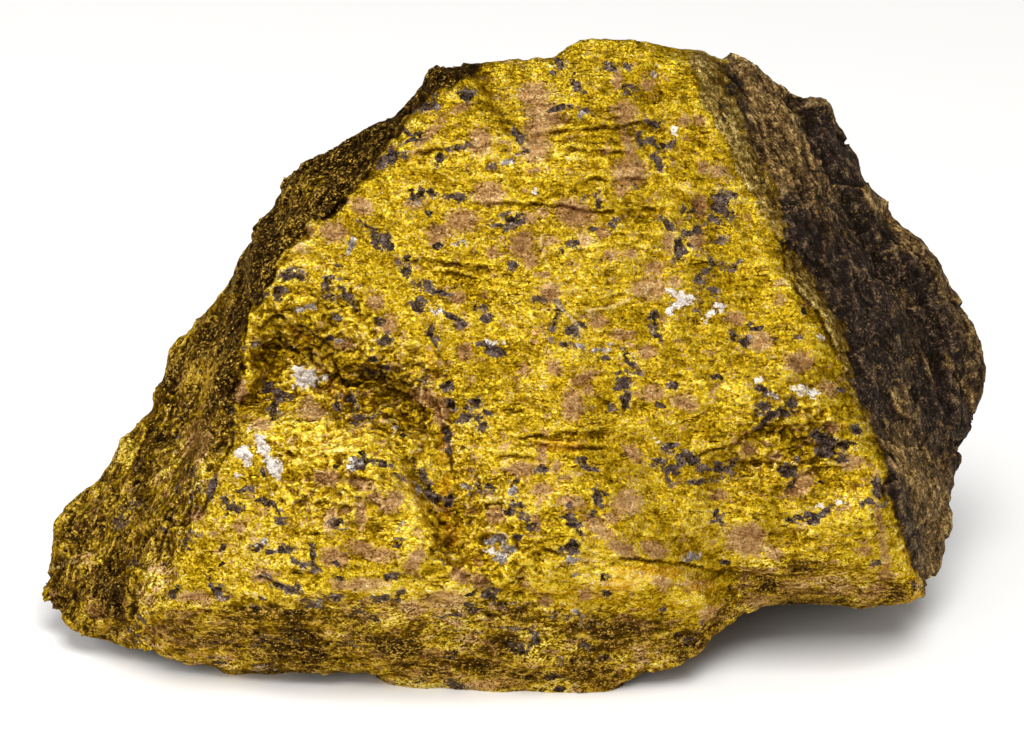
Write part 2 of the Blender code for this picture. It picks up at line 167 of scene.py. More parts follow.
    (15.4, 4.6, 1.7, 0.7, 5), (16.2, 5.9, 1.2, 0.4, 70), (14.5, 3.2, 1.7, 0.6, 10), (7.9, 3.3, 0.7, 0.4, 0),
    (10.9, 3.1, 1.2, 0.3, 0), (3.4, 1.7, 1.9, 0.6, -10), (-4.8, 0.9, 1.4, 0.4, -15), (1.1, 5.7, 2, 0.3, 0),
    (4.1, 12.3, 1, 0.6, 0), (5.1, 12.8, 1.3, 1.1, 60), (7.7, 10.2, 0.8, 0.6, -30), (8, 8.8, 0.7, 0.6, 0),
    (-1.8, 8.8, 1.1, 0.8, 0), (-2.7, 7.4, 0.8, 0.5, 0), (-0.6, 7.8, 1.7, 0.3, 0), (4.2, 6.8, 1.2, 0.3, -10),
    (12.8, 7.5, 0.7, 0.5, 60), (-31.7, 19.6, 1.2, 0.7, 60), (-28.5, 22, 0.8, 0.5, 70),
    (-27.6, 24.3, 0.7, 0.8, 0), (-33.4, 14.8, 1.2, 0.8, 30), (-32, 16.3, 1.5, 0.6, 10),
    (-34.3, 19.9, 1, 0.6, 30), (-32.1, 11.5, 0.8, 0.5, 20), (-34.6, 9.5, 0.7, 0.4, 0),
    (-28.3, 17.8, 1.2, 0.5, 60), (-29.6, 14.2, 0.7, 0.5, 0), (-27.7, 13.2, 0.8, 0.4, 0),
    (-27.3, 13.9, 1, 0.3, 0), (-38.3, 6.1, 0.8, 0.4, -20), (-28.7, 8.9, 1.3, 0.7, 40),
    (-21.4, 4.3, 0.9, 0.5, 10), (-31.5, 6.6, 1, 0.6, -15), (-32.4, 5.7, 1, 0.5, -15),
    (-31.6, 4.8, 0.9, 0.5, -25), (-25, 3.1, 1.2, 0.4, 0), (-13.6, 4.4, 1, 0.4, -5),
    (-5.2, 3.6, 1.1, 0.5, 0), (0.6, 4, 1.2, 0.5, 5), (6.4, 4.4, 1, 0.5, 0),
]
# Plates of the same kind as the dark plates, painted lighter as painted highlight where they catch the
# light.
SILVERY_PLATES = [
    (-0.3, 45.5, 1.5, 0.8, 10), (5.8, 49.2, 0.8, 0.7, 20), (12.1, 53.1, 0.8, 0.5, 40),
    (-4.5, 38.5, 0.9, 0.5, 0), (5.9, 29.5, 1.1, 0.5, -20), (7.3, 29.3, 1.5, 0.4, 0),
    (8.4, 29.8, 0.8, 0.3, 0), (-10.2, 23.1, 1.1, 0.6, -30), (-8, 17.6, 0.7, 0.7, 0),
    (-3.9, 17.9, 1.3, 0.7, -50), (-3.6, 17, 0.8, 0.5, 70), (0.1, 17.3, 1.1, 0.8, -60),
    (22.1, 25.9, 1.5, 0.4, -55), (15.1, 11.9, 1.3, 1, 0), (-13.7, 38.3, 1.4, 0.7, 80),
    (-17.7, 32.9, 1.5, 0.7, 0), (-17, 33.2, 0.8, 0.4, 0), (-14.9, 32.1, 1.2, 0.6, -30),
    (-14.5, 30.2, 0.8, 0.4, -20), (-1.2, 13.3, 1.9, 0.8, 0), (-0.9, 12.1, 1.9, 0.9, 75),
    (-0.1, 12.5, 0.9, 0.5, -30), (5.2, 11.5, 1.1, 0.8, 0), (5.2, 10.3, 1.2, 0.3, 10),
    (5.6, 7.2, 1.2, 0.6, -20), (6.6, 6.2, 1.5, 0.5, 10), (4.2, 3, 1.2, 0.6, -20),
    (-18.4, 5.1, 1.1, 0.6, -45), (-21.8, 7.6, 1.2, 0.7, -30), (-20.8, 17.7, 1, 0.3, -50),
    (-21.2, 13.2, 0.8, 0.5, 0), (-16.1, 8.1, 0.7, 0.3, 0), (-13.1, 19.8, 0.8, 0.5, 60),
    (-6.3, 32.6, 0.7, 0.5, 0), (-9.5, 14.4, 0.8, 0.3, 85), (-5.7, 11.4, 0.5, 0.3, 0),
]
# Pale grains that stand out a little; the slanted streaks on the lower left lobe among them are painted
# highlight, the rest real grains.
WHITE_GRAINS = [
    (-17.7, 27.1, 2, 1.8, 0), (-15.9, 27.1, 0.7, 0.4, -20), (-21.3, 21.4, 2.6, 0.9, -55),
    (-20.1, 19.5, 2.4, 1, -58), (-22.8, 20.5, 1.5, 0.9, -60), (-23.1, 18.8, 0.9, 0.6, 0),
    (-13.7, 19.8, 0.7, 0.7, 0), (14.6, 33.9, 1.7, 0.8, -25), (13.8, 32.9, 1.1, 0.7, 0),
    (14.2, 33.5, 1, 0.7, 0), (13.6, 34.4, 0.7, 0.4, 0), (17.5, 33.2, 1.2, 0.7, -20),
    (16.6, 32.1, 0.8, 0.5, 70), (26.3, 30.4, 0.6, 0.5, 0), (24.9, 26, 1.9, 0.6, -5),
    (20.8, 26.9, 0.7, 0.5, 0), (26.1, 16.2, 0.7, 0.4, 0), (27.8, 16.5, 0.6, 0.3, 0),
    (13.7, 48.3, 0.6, 0.3, -60), (13.8, 47.7, 0.5, 0.3, -60), (0.3, 51.1, 0.3, 0.3, 0),
    (2, 42.7, 0.3, 0.3, 0), (-1.9, 12.4, 0.7, 0.6, 0), (-6.2, 32.3, 0.8, 0.6, -50),
    (12.4, 21.5, 0.6, 0.4, -30), (-1.5, 30.2, 0.8, 0.3, 0), (-27.9, 24.9, 0.4, 0.4, 0),
    (5.3, 1, 0.4, 0.3, 0), (-21.2, 2.4, 1.2, 0.3, 0),
]
# Pinkish brown patches in the gold.
BRONZE_PATCHES = [
    (1.8, 51.1, 2.2, 1.7, 0), (2.8, 49.4, 2.7, 1.9, -20), (2.1, 48.3, 1.9, 1.2, 0), (2, 46.6, 2, 2, 0),
    (-2.7, 47.2, 1.6, 2, 0), (-2, 42.7, 2.2, 1.6, 0), (-4.2, 40.4, 2.4, 1.6, 0), (-6.1, 39.5, 1.9, 1, 0),
    (-6.5, 38.6, 0.9, 0.8, 0), (5.3, 41.1, 2.9, 2, -20), (4.6, 41.8, 1.4, 1, 0), (0.8, 38.4, 1.7, 2, -30),
    (1.6, 37.1, 1.1, 1.2, 0), (6.2, 38.8, 0.8, 0.8, 0), (7.7, 39.4, 0.8, 0.8, 0), (3.1, 38.7, 1, 0.6, 0),
    (-1.6, 37.7, 0.9, 0.8, 0), (9.6, 49.6, 1.6, 1.8, 0), (9.8, 47.2, 1.7, 0.7, -70),
    (10, 46.2, 1.5, 0.8, 90), (10, 44.5, 2.4, 2.2, 0), (9.2, 43, 0.8, 0.9, 0), (11.5, 52, 1.1, 0.8, 0),
    (8.9, 52.3, 0.8, 1.4, 0), (-4.4, 50, 1.1, 0.6, 20), (-7, 47.8, 2.7, 0.5, 45), (8.4, 37.5, 1.1, 0.7, 0),
    (10, 37.6, 0.8, 0.6, 0), (13.3, 38.7, 1.7, 0.8, 90), (12.1, 36.4, 1.4, 1, 0), (11.7, 34.7, 2.5, 1.5, 0),
    (14.6, 48.9, 0.8, 0.8, 0), (15.9, 48.9, 0.8, 0.7, 0), (15.7, 38.8, 1.2, 1.4, 0),
    (15.9, 41.6, 1.1, 1.7, 0), (3.2, 34.3, 1.4, 1.4, 0), (-4.7, 33.9, 1.4, 0.9, 0),
    (1.4, 40.6, 1.2, 0.8, 0), (2.6, 41.1, 0.8, 0.7, 0), (-8.2, 41.8, 1.2, 0.7, 0), (-4, 29.3, 1.1, 1.3, 0),
    (-7.4, 25.4, 2, 1.2, -30), (5.1, 24.8, 2.5, 1.5, 90), (3.6, 27.9, 1.2, 0.8, -50),
    (6.2, 27.1, 1.9, 0.8, 30), (1, 27.7, 0.8, 0.7, 0), (7.3, 31.8, 1.3, 0.9, 0), (9.2, 30.7, 1.4, 0.8, 0),
    (11.5, 29.3, 1.3, 1, 0), (11.9, 25.8, 1.6, 1.2, 0), (14.4, 25, 1.7, 0.9, -15),
    (10.2, 20.7, 1.6, 0.9, -45), (0.8, 19.3, 1.9, 1.1, 0), (5, 16.5, 1.9, 1, -10), (9.8, 16.5, 2, 1.9, 0),
    (7, 14.7, 1.9, 0.8, -35), (2.5, 20.5, 1.4, 0.6, 90), (-9.9, 16.7, 1.2, 1.4, 0),
    (-1.4, 15.4, 1.3, 1.1, 0), (19.8, 13.3, 2.7, 2, -15), (22.3, 12.2, 1.3, 0.8, -30),
    (24.4, 18, 2.4, 1.5, 40), (26.8, 26.2, 1.4, 1, -30), (27.1, 22.8, 1.3, 0.8, 0), (20, 21, 1.1, 0.8, 0),
    (22.3, 20.4, 0.8, 0.6, 0), (28.7, 19.9, 1.7, 1, 0), (31.2, 15, 2.2, 0.4, -78),
    (31.6, 12.3, 2.4, 0.5, -78), (31.7, 10.3, 1.1, 0.8, 0), (29.9, 12.4, 0.9, 0.6, 0), (17, 7, 1.9, 1.1, 0),
    (15.1, 24.8, 1.1, 0.8, 0), (17.6, 17.1, 1.2, 0.7, 0), (-17, 24.2, 1.9, 1.2, 0),
    (-17.3, 25, 0.8, 0.7, 0), (-10.5, 31.6, 1.3, 1.4, 0), (-11.6, 33.5, 1.3, 1.2, 0),
    (-14.2, 29.9, 1.2, 0.7, 0), (-15.7, 18.6, 2, 1.2, 0), (-12.7, 41.6, 1.7, 1.2, -20),
    (-15.1, 39.4, 2, 1.4, -10), (-6, 24.2, 1.2, 2.2, 0), (-21.2, 23.1, 1.3, 0.8, 0), (-23.1, 26, 1, 1.9, 0),
    (-12.9, 18.1, 2, 0.8, -20), (-11.6, 16.9, 0.9, 0.8, 0), (-10.4, 16.3, 1.6, 1.2, 0),
    (-26.9, 15.4, 1.4, 0.8, 10), (-23.1, 14.4, 0.9, 0.9, 0), (-12.8, 15.4, 2, 0.6, 90),
    (-15.4, 15, 1.7, 0.8, 80), (-15, 11.8, 2, 1.4, -10), (-12.7, 12.5, 2.5, 1, -20), (-11, 12, 2, 0.9, 0),
    (-8.2, 11.6, 1.9, 1.1, 60), (-12.5, 9.5, 2.4, 0.8, 0), (-14.6, 9.5, 1.2, 0.7, 0),
    (-21.2, 10.3, 1.4, 0.8, 0), (-26.9, 8.5, 2.4, 0.7, 0), (-29.4, 5.7, 2.7, 0.8, 0),
    (-27.3, 4.7, 3.4, 0.8, -5), (-5.9, 8.2, 2.9, 1.3, 0), (-8.5, 7.6, 2.2, 0.7, 0), (-7, 3.6, 2, 0.8, 0),
    (-11.2, 3.7, 1.1, 0.7, 0), (-7.8, 2.1, 1.9, 0.5, 0), (-4.4, 10.3, 1.5, 1.1, -40),
    (8.5, 15.2, 1.2, 0.8, 0), (7.5, 14.1, 2, 0.7, -20), (9.3, 12.6, 2.4, 1, -30), (12.1, 12.5, 2, 1.2, -20),
    (12.7, 9.6, 1.4, 1, -40), (10.9, 5.9, 2.2, 1.2, 0), (9.5, 6.5, 1.4, 0.8, 0), (6.2, 8.7, 0.9, 0.8, 45),
    (2, 14.7, 0.7, 1.3, 0), (-2.7, 9.8, 1.4, 1, -40), (-1.9, 4.4, 1.3, 0.8, 0), (-2.7, 1, 2.5, 0.6, 0),
    (-0.6, 1.4, 1.7, 0.5, 0), (2.8, 8.2, 0.9, 0.7, 0), (2.4, 17.6, 1.4, 0.8, 0), (20.3, 13.8, 1.9, 1.7, 0),
    (24.4, 28.4, 2.2, 1.5, 0), (21, 30.2, 1.9, 1.4, 0), (18.9, 32.1, 1.5, 1, 0), (17.5, 44.6, 1.4, 0.8, 0),
    (6.4, 26, 0.8, 0.8, 0), (22.7, 33.7, 0.8, 0.6, 0), (16.2, 45, 0.8, 1, 0), (13.8, 35.2, 0.8, 0.8, 0),
    (24, 9.2, 2.2, 1, 0), (27.8, 9.1, 2, 0.8, 0), (21, 8.1, 2, 1, 0), (30.4, 8.7, 1.7, 0.7, 0),
    (31.2, 9.2, 1.2, 0.7, 0), (-26.5, 21.8, 1.9, 3.4, -20), (-28.2, 27.3, 1.2, 1.4, 0),
    (-38.8, 8.2, 0.8, 2.2, 0), (-35.1, 7.4, 1.7, 1.4, 0), (-33.2, 8, 1, 0.8, 0), (-37, 14.3, 1.2, 1, 0),
    (-30.7, 26.9, 0.7, 2.5, 0),
]
# Smears of a deeper, warmer gold.
HONEY_SMEARS = [
    (-5.9, 21.4, 0.8, 4.2, 0), (-5.6, 16.7, 1.2, 5.1, 0), (-5.1, 13.7, 1.7, 2.5, 0),
    (11.7, 10.6, 7.6, 1.4, 0), (9.2, 9.5, 4.2, 1.2, 0), (-15.4, 26.5, 0.8, 3.4, 20),
    (-14.3, 25.6, 0.7, 2.5, 0), (-6.8, 28.6, 0.7, 2.5, 0), (15.9, 9.5, 3.4, 1.2, 0),
    (4.1, 21.4, 5.1, 1.2, 0), (-18, 30.7, 3.4, 0.8, -30),
]
# Thin crevices, each under a lip, cut into the relief and darkened in colour as the painted shade under the
# lip.
CREASES = [
    [(-9.7, 46), (-7.8, 46.2), (-5.3, 46.5), (-2.7, 46.8), (-1, 47.2)],
    [(2.4, 47.8), (4.9, 48.1), (7.5, 48.3), (10.9, 48.7)],
    [(-2.7, 41.9), (0.7, 41.9), (4.1, 41.7), (7.5, 41.1), (10.9, 41.3), (12.2, 41.6)],
    [(-9.2, 37.2), (-7, 37.2), (-5.5, 36.8), (-3.6, 36.6), (-2.1, 36.4)], [(-6.1, 36.2), (-3.6, 35.7)],
    [(4.9, 46.5), (7.5, 46.4), (9.3, 46.2)], [(0.7, 22), (4.1, 22.3), (7.5, 22.6)],
    [(2.4, 21.5), (5.3, 21.1), (7.6, 21.2)], [(-1, 20.5), (1.5, 20.3)],
    [(-2.3, 16.3), (-0.8, 16.5), (0.8, 16.2)],
    [(-20.9, 31.5), (-20.1, 32.4), (-19.1, 32.1), (-18, 31.6), (-16.7, 31), (-15.6, 29.9), (-14.9, 29.2)],
    [(-22.7, 32.1), (-22.8, 29.9), (-22.9, 27.1)], [(-21.8, 22.1), (-20.1, 21.4), (-18.5, 20.5)],
    [(9.2, 11.8), (11.7, 11.6), (14.2, 11.4), (16.1, 11)], [(0.3, 12.9), (2, 12.6), (3.8, 12.3)],
    [(22.9, 37.9), (23.2, 36.4), (24.1, 34.7), (25.7, 32.7), (26.6, 31.1), (27.5, 29.3), (27.8, 27.6)],
    [(15.9, 20.6), (18.1, 21.3), (19.8, 22.1), (21.5, 23.1), (24.4, 22.9)],
    [(-13.1, 23.8), (-11.6, 23.2), (-9.9, 21.8), (-8.5, 19.9)], [(-1, 24.5), (0.8, 24.3)],
    [(-7, 26), (-6.1, 24.3), (-5.5, 21.8), (-5.1, 19.3)], [(6.6, 43.9), (10.9, 44)],
    [(-23.4, 22.6), (-24.1, 20.9), (-24.9, 19.4), (-25.5, 17.4), (-26.7, 15.2)],
    [(-21.4, 10.2), (-18.8, 9.2), (-15.4, 8.2)], [(-30.7, 11.6), (-29.9, 12.9), (-29, 15)],
    [(-15.4, 29.1), (-14.6, 27.4), (-13.9, 26), (-13.5, 24.5)], [(-11.2, 23.9), (-8.5, 23.9), (-7.4, 24.5)],
    [(-15, 20.3), (-13.5, 18.7), (-11.6, 18.2)], [(-8.3, 20.3), (-7, 17.6), (-5.8, 16.4)],
    [(-7.4, 50.5), (-8.6, 49.2), (-9.7, 47.8)], [(-10.2, 46.6), (-11.6, 44.9), (-13.2, 43.4)],
    [(-14.3, 42.3), (-15.6, 41), (-17, 39.9), (-18.1, 38.9)], [(-19, 37.7), (-20.2, 35.9), (-21.2, 34.3)],
]
# Hair-thin pale seams.
PALE_THREADS = [
    [(3.7, 33.5), (4.6, 32.5), (5.3, 31.8), (5.9, 31)], [(6.2, 32.7), (7.6, 32.9), (8.9, 33.3), (10, 33.7)],
    [(2.5, 39.1), (2.6, 38.1), (2.8, 36.9)], [(-39.2, 10.9), (-38.2, 11.1), (-37.1, 11.6)],
]
# (right, up, reach) of the spots where the gold is crumpled hardest.
CRUMPLED_SPOTS = [
    (-17, 29, 9), (-9, 25, 6.5), (-15, 19.5, 7), (24, 22, 6), (-3, 12, 7),
]
# (right, up, reach, how far it stands out) of the places where the lump swells or falls back.
SWELLINGS = [
    (-5.5, 52.6, 5, 1), (0.5, 53.8, 4, 0.3), (39.2, 31, 4.5, 0.6), (28.5, 47.6, 3.2, 0.3),
    (38.6, 23.5, 3, 0.5), (34.5, 8.3, 2.2, 0.5), (33.5, 40, 7, -0.6), (24, 51.5, 4, -0.4),
    (-17.5, 44, 4, 0.5), (-28, 30, 4, 0.45), (-32.5, 21.5, 4, 0.5), (-38.8, 14.5, 3, 0.8),
    (-39.6, 6.6, 2.5, 0.9), (-37.6, 6.2, 2.2, 0.5), (-7.5, 51, 5, 0.4), (-2, 53.4, 6, 0.35),
    (18, 54, 4, 0.4),
]
# Painted shade in the hollows and under the lips: strokes where the gold is darkened in colour as shade.
DIRTY_STROKES = [
    (-19.9, 32.1, 3, 1, -20), (-17.6, 31.1, 4, 1.4, -35), (-15.4, 29.3, 3.5, 1.6, -50),
    (-14.2, 26, 4, 1.2, -65), (-11.6, 24.2, 5, 0.9, -10), (-9.5, 25.2, 3, 1.2, 40), (-21.2, 26, 3, 1.5, 60),
    (-23.1, 29.9, 5, 0.9, 85), (-18.6, 30, 6, 3, -25), (-11.2, 26.6, 5, 3, 0), (-7, 16.7, 6, 0.8, -70),
    (26.1, 21.9, 3, 1.5, -10), (-18.2, 31.4, 7, 1.6, -28), (-13.2, 27.6, 5, 1.6, -52),
    (-20.8, 28.6, 4, 2, 75), (-9.6, 23.2, 6, 1.2, -12), (22.2, 23, 3, 0.8, 20), (19, 10.8, 3, 0.8, -20),
    (-9.2, 22.5, 3, 0.8, -45), (-5.7, 25.5, 3, 0.8, -65), (-5.3, 53, 4.5, 1.2, 8), (-7.4, 51.2, 3, 1.5, 35),
]
# Painted highlight: crests lightened in colour where they catch the most light.
GLEAMING_STROKES = [
    (-15.4, 21.2, 5, 2.2, -8), (-8, 15.3, 2.5, 2.5, 0), (-7.5, 19.5, 2, 2, 60), (-12.5, 20, 3, 1.6, -25),
    (-26.5, 27.3, 2, 2.5, 20), (-19.5, 23.5, 3, 1, 10), (-7, 8, 4, 2, 0), (11, 10, 5, 1.2, 0),
]
# Brown dust on the crust.
DUST_STROKES = [
    (16.4, 51.5, 9, 2, -75), (18.9, 46.4, 7, 1.8, -65), (21, 45.1, 8, 1.6, -60), (21.9, 49.8, 8, 3, -60),
    (24.4, 51.5, 5, 1.2, -40), (19.8, 52.8, 4, 2, -60), (23.2, 43.8, 4, 1.6, -60), (23.6, 40, 5, 1.2, -75),
    (24.4, 35.8, 5, 1.5, -60), (26.5, 33.7, 5, 1.6, -65), (27.7, 31.6, 4, 1.2, -70), (26, 49.8, 4, 1, -60),
    (28.7, 41.3, 4, 1, -45), (32.5, 40, 6, 1, -50), (32.1, 37.1, 4, 1, -45), (32.5, 34.1, 3, 2, -60),
    (37.4, 32.8, 5, 1.4, -60), (36.9, 29.4, 5, 1.2, -70), (32.9, 27.7, 6, 3, -55),
    (31.6, 29.4, 3, 1.2, -40), (38.4, 26.9, 4, 1, -80), (34.6, 24.3, 5, 1.5, -65), (35.9, 22.6, 3, 1, -60),
    (32.1, 21.8, 5, 1, -70), (34.2, 19.3, 5, 2, -65), (35, 16.7, 7, 2.4, -75), (36.3, 15.9, 8, 1.6, -80),
    (35, 12.5, 6, 1.5, -75), (36.3, 10.3, 3, 1, -75),
]
# Soot-black patches on the crust; the long thin ones along the valleys between its folds are painted
# shadow.
SOOT_STROKES = [
    (18.5, 50.6, 6, 1.5, -75), (24.6, 38.6, 7, 3, -70), (36, 31.5, 8, 3, -65), (33.5, 36, 6, 2.5, -50),
    (29.5, 40, 5, 2, -50), (29.5, 35.4, 7, 5, -30), (30.4, 30.3, 7, 5, -50), (28.2, 29.4, 6, 3, -75),
    (27.4, 46.4, 9, 2.2, -62), (35, 25.2, 7, 2, -75), (37.5, 24, 8, 2, -75), (32.5, 16.7, 9, 1.6, -70),
    (30.8, 38.6, 5, 2, -55), (30.5, 25.5, 5, 2, -70),
]
# Furrows between the folds of the crust.
CRUST_FOLDS = [
    [(24.2, 50.6), (25.4, 48.1), (26.7, 45.3), (28.5, 42.2), (30.4, 39.2), (31.8, 36.9), (33.3, 35.5)],
    [(22.9, 38.2), (23.2, 36.4), (23.8, 35.2), (24.9, 34.3)],
    [(34.4, 35.5), (35.9, 31.1), (36.7, 25.2), (37.7, 21.5)],
    [(30.8, 19.3), (31.8, 15.9), (33, 12.5), (34.4, 9.9)], [(27, 43), (29.1, 40.3), (31.6, 38.3)],
    [(31, 36), (34.2, 35.5), (35.5, 34.1)],
]
# Borders of the big face's parts: the first three run down the lump, the last across it.
PALE_LINE_GOLD_TO_CRUST = [
    (15.1, 56.5), (15.1, 54), (16.2, 50.4), (17.9, 47.8), (19.3, 44.4), (21.3, 41.3), (23, 37.9),
    (24.1, 34.7), (25.7, 32.7), (26.6, 31.1), (27.5, 29.3), (28.2, 26.5), (29.9, 23.5), (31.2, 21),
    (31.8, 18.4), (32.3, 15.9), (33.2, 13.3), (34.2, 10.3), (35.2, 7.5),
]
CRUST_STARTS = [
    (17.6, 56.5), (17.6, 54), (19.1, 50), (20.4, 46.4), (22.3, 43), (23.2, 38.5), (24.4, 36.9),
    (26.3, 34.5), (27.7, 32.1), (28.2, 29.9), (28.7, 26.9), (30.2, 23.7), (31.4, 21), (32.2, 16),
    (34.6, 10), (35.6, 7.5),
]
LEFT_FLANK_STARTS = [
    (-2.4, 56), (-2.7, 53.6), (-4, 52.4), (-6.4, 51.2), (-8.4, 49.8), (-10.4, 46.8), (-12, 44.5),
    (-13.3, 43.4), (-15, 41.5), (-16.5, 40.3), (-18, 38.9), (-19.1, 37.5), (-20.7, 34.5), (-22.5, 32),
    (-22.9, 27.1), (-23.4, 22.6), (-24.9, 19.4), (-26.9, 15), (-28, 12.9), (-28.5, 9.9), (-30, 7.5),
]
BROW = [
    (-45, 6), (-36, 6.5), (-29, 8.2), (-18, 8.5), (-6.1, 9.1), (4.1, 7.8), (10.9, 7.4), (15.9, 6.5),
    (17.8, 8.2), (18.9, 11.2), (24.4, 12.5), (29.5, 11.6), (34.2, 10.1), (40, 9),
]

# ---------------------------------------------------------------- noise

# A seed only picks which of many like patterns a noise draws.
AXIS_PRIMES = (73856093, 19349663, 83492791)
SEED_PRIME = 2654435761
SCRAMBLER = 0x45D9F3B
LOW_32_BITS = 0xFFFFFFFF
LOW_24_BITS = 0xFFFFFF
DRIFT_GAIN = 1.6


def scrambled(cell, seed):
    """A repeatable number from 0 to 1 for each whole-numbered cell."""
    mixed = seed * SEED_PRIME
    for axis, prime in enumerate(AXIS_PRIMES):
        mixed = mixed ^ (cell[..., axis] * prime)
    mixed = mixed & LOW_32_BITS
    for _ in range(2):
        mixed = ((mixed ^ (mixed >> 16)) * SCRAMBLER) & LOW_32_BITS
    return ((mixed ^ (mixed >> 16)) & LOW_24_BITS) / LOW_24_BITS


def drift(places, seed):
    """Smooth noise from about -1 to 1, one wave per unit."""
    cell = np.floor(places).astype(np.int64)
    share = places - cell
    fade = share ** 3 * (share * (share * 6.0 - 15.0) + 10.0)
    total = np.zeros(len(places))
    for corner in np.ndindex(2, 2, 2):
        slope = np.stack([scrambled(cell + corner, seed + k) for k in (1, 2, 3)], axis=1) * 2.0 - 1.0
        weight = np.prod(np.where(corner, fade, 1.0 - fade), axis=1)
        total += weight * np.einsum("ij,ij->i", slope, share - corner)
    return total * DRIFT_GAIN


def drift_sideways(places, seed_right, seed_up):
    """Two drifts at once, to push a border right or left and up or down."""
    return np.stack((drift(places, seed_right), drift(places, seed_up)), axis=1)


def layered(places, seed, layers=3):
    """Drift with finer and fainter drifts on top."""
    return sum(drift(places * 2.0 ** i, seed + 10 * i) / 2.0 ** i for i in range(layers))


def nearest_grain(places, seed):
    """The distance to the nearest grain's centre, the way from it, and the grain's own number, 0 to 1."""
    cell = np.floor(places).astype(np.int64)
    near = np.full(len(places), np.inf)
    way = np.zeros_like(places)
    number = np.zeros(len(places))
    for step in np.ndindex(3, 3, 3):
        at = cell + step - 1
        centre = at + np.stack([scrambled(at, seed + k) for k in (1, 2, 3)], axis=1)
        apart = places - centre
        far = (apart ** 2).sum(axis=1)
        closer = far < near
        near[closer] = far[closer]
        way[closer] = apart[closer]
        number[closer] = scrambled(at, seed + 4)[closer]
    return np.sqrt(near), way, number


def spread(number, *factors):
    """One more random number from 0 to 1 out of a grain's own number for each factor."""
    return np.stack([np.modf(factor * number)[0] for factor in factors], axis=1)


def smooth_step(low, high, value):
    """0 up to low, 1 from high on, and a smooth change between; low may be the greater of the two."""
    share = np.clip((value - low) / (high - low), 0.0, 1.0)
    return share * share * (3.0 - 2.0 * share)


# ---------------------------------------------------------------- reading the marks

OUTSIDE_ALL_STROKES = -2.0
STROKE_REACH = 1.6
DEEPEST_IN_STROKE = 0.6
OFF_ALL_LINES = 9.0


def inside_strokes(seen, strokes):
    """How deep each place lies inside the nearest stroke, in millimetres; less than 0 outside."""
    depth = np.full(len(seen), OUTSIDE_ALL_STROKES)
    for right, up, length, width, turn in strokes:
        cosine = math.cos(math.radians(turn))
        sine = math.sin(math.radians(turn))
        apart = seen - (right, up)
        near = np.flatnonzero((np.abs(apart) < length / 2.0 + STROKE_REACH).all(axis=1))
        along = apart[near, 0] * cosine + apart[near, 1] * sine
        across = apart[near, 1] * cosine - apart[near, 0] * sine
        out = np.hypot(along / (length / 2.0), across / (width / 2.0))
        depth[near] = np.maximum(depth[near], (1.0 - out) * np.minimum(width / 2.0, DEEPEST_IN_STROKE))
    return depth


def off_lines(seen, lines):
    """How far each place is from the nearest line, and how far it lies above it."""
    apart = np.full(len(seen), OFF_ALL_LINES)
    above = np.zeros(len(seen))
    for line in lines:
        for start, end in zip(line, line[1:]):
            start, end = np.array(start), np.array(end)
            run = end - start
            share = np.clip((seen - start) @ run / (run @ run), 0.0, 1.0)
            off = seen - start - share[:, None] * run
            far = np.hypot(off[:, 0], off[:, 1])
            closer = far < apart
            apart[closer] = far[closer]
            above[closer] = off[closer, 1]
    return apart, above


def right_of(seen, border):
    """How far right of a border that runs up the lump each place lies."""
    rights, ups = zip(*border[::-1])
    return seen[:, 0] - np.interp(seen[:, 1], ups, rights)


def below(seen, border):
    """How far below a border that runs across the lump each place lies."""
    rights, ups = zip(*border)
    return np.interp(seen[:, 0], rights, ups) - seen[:, 1]


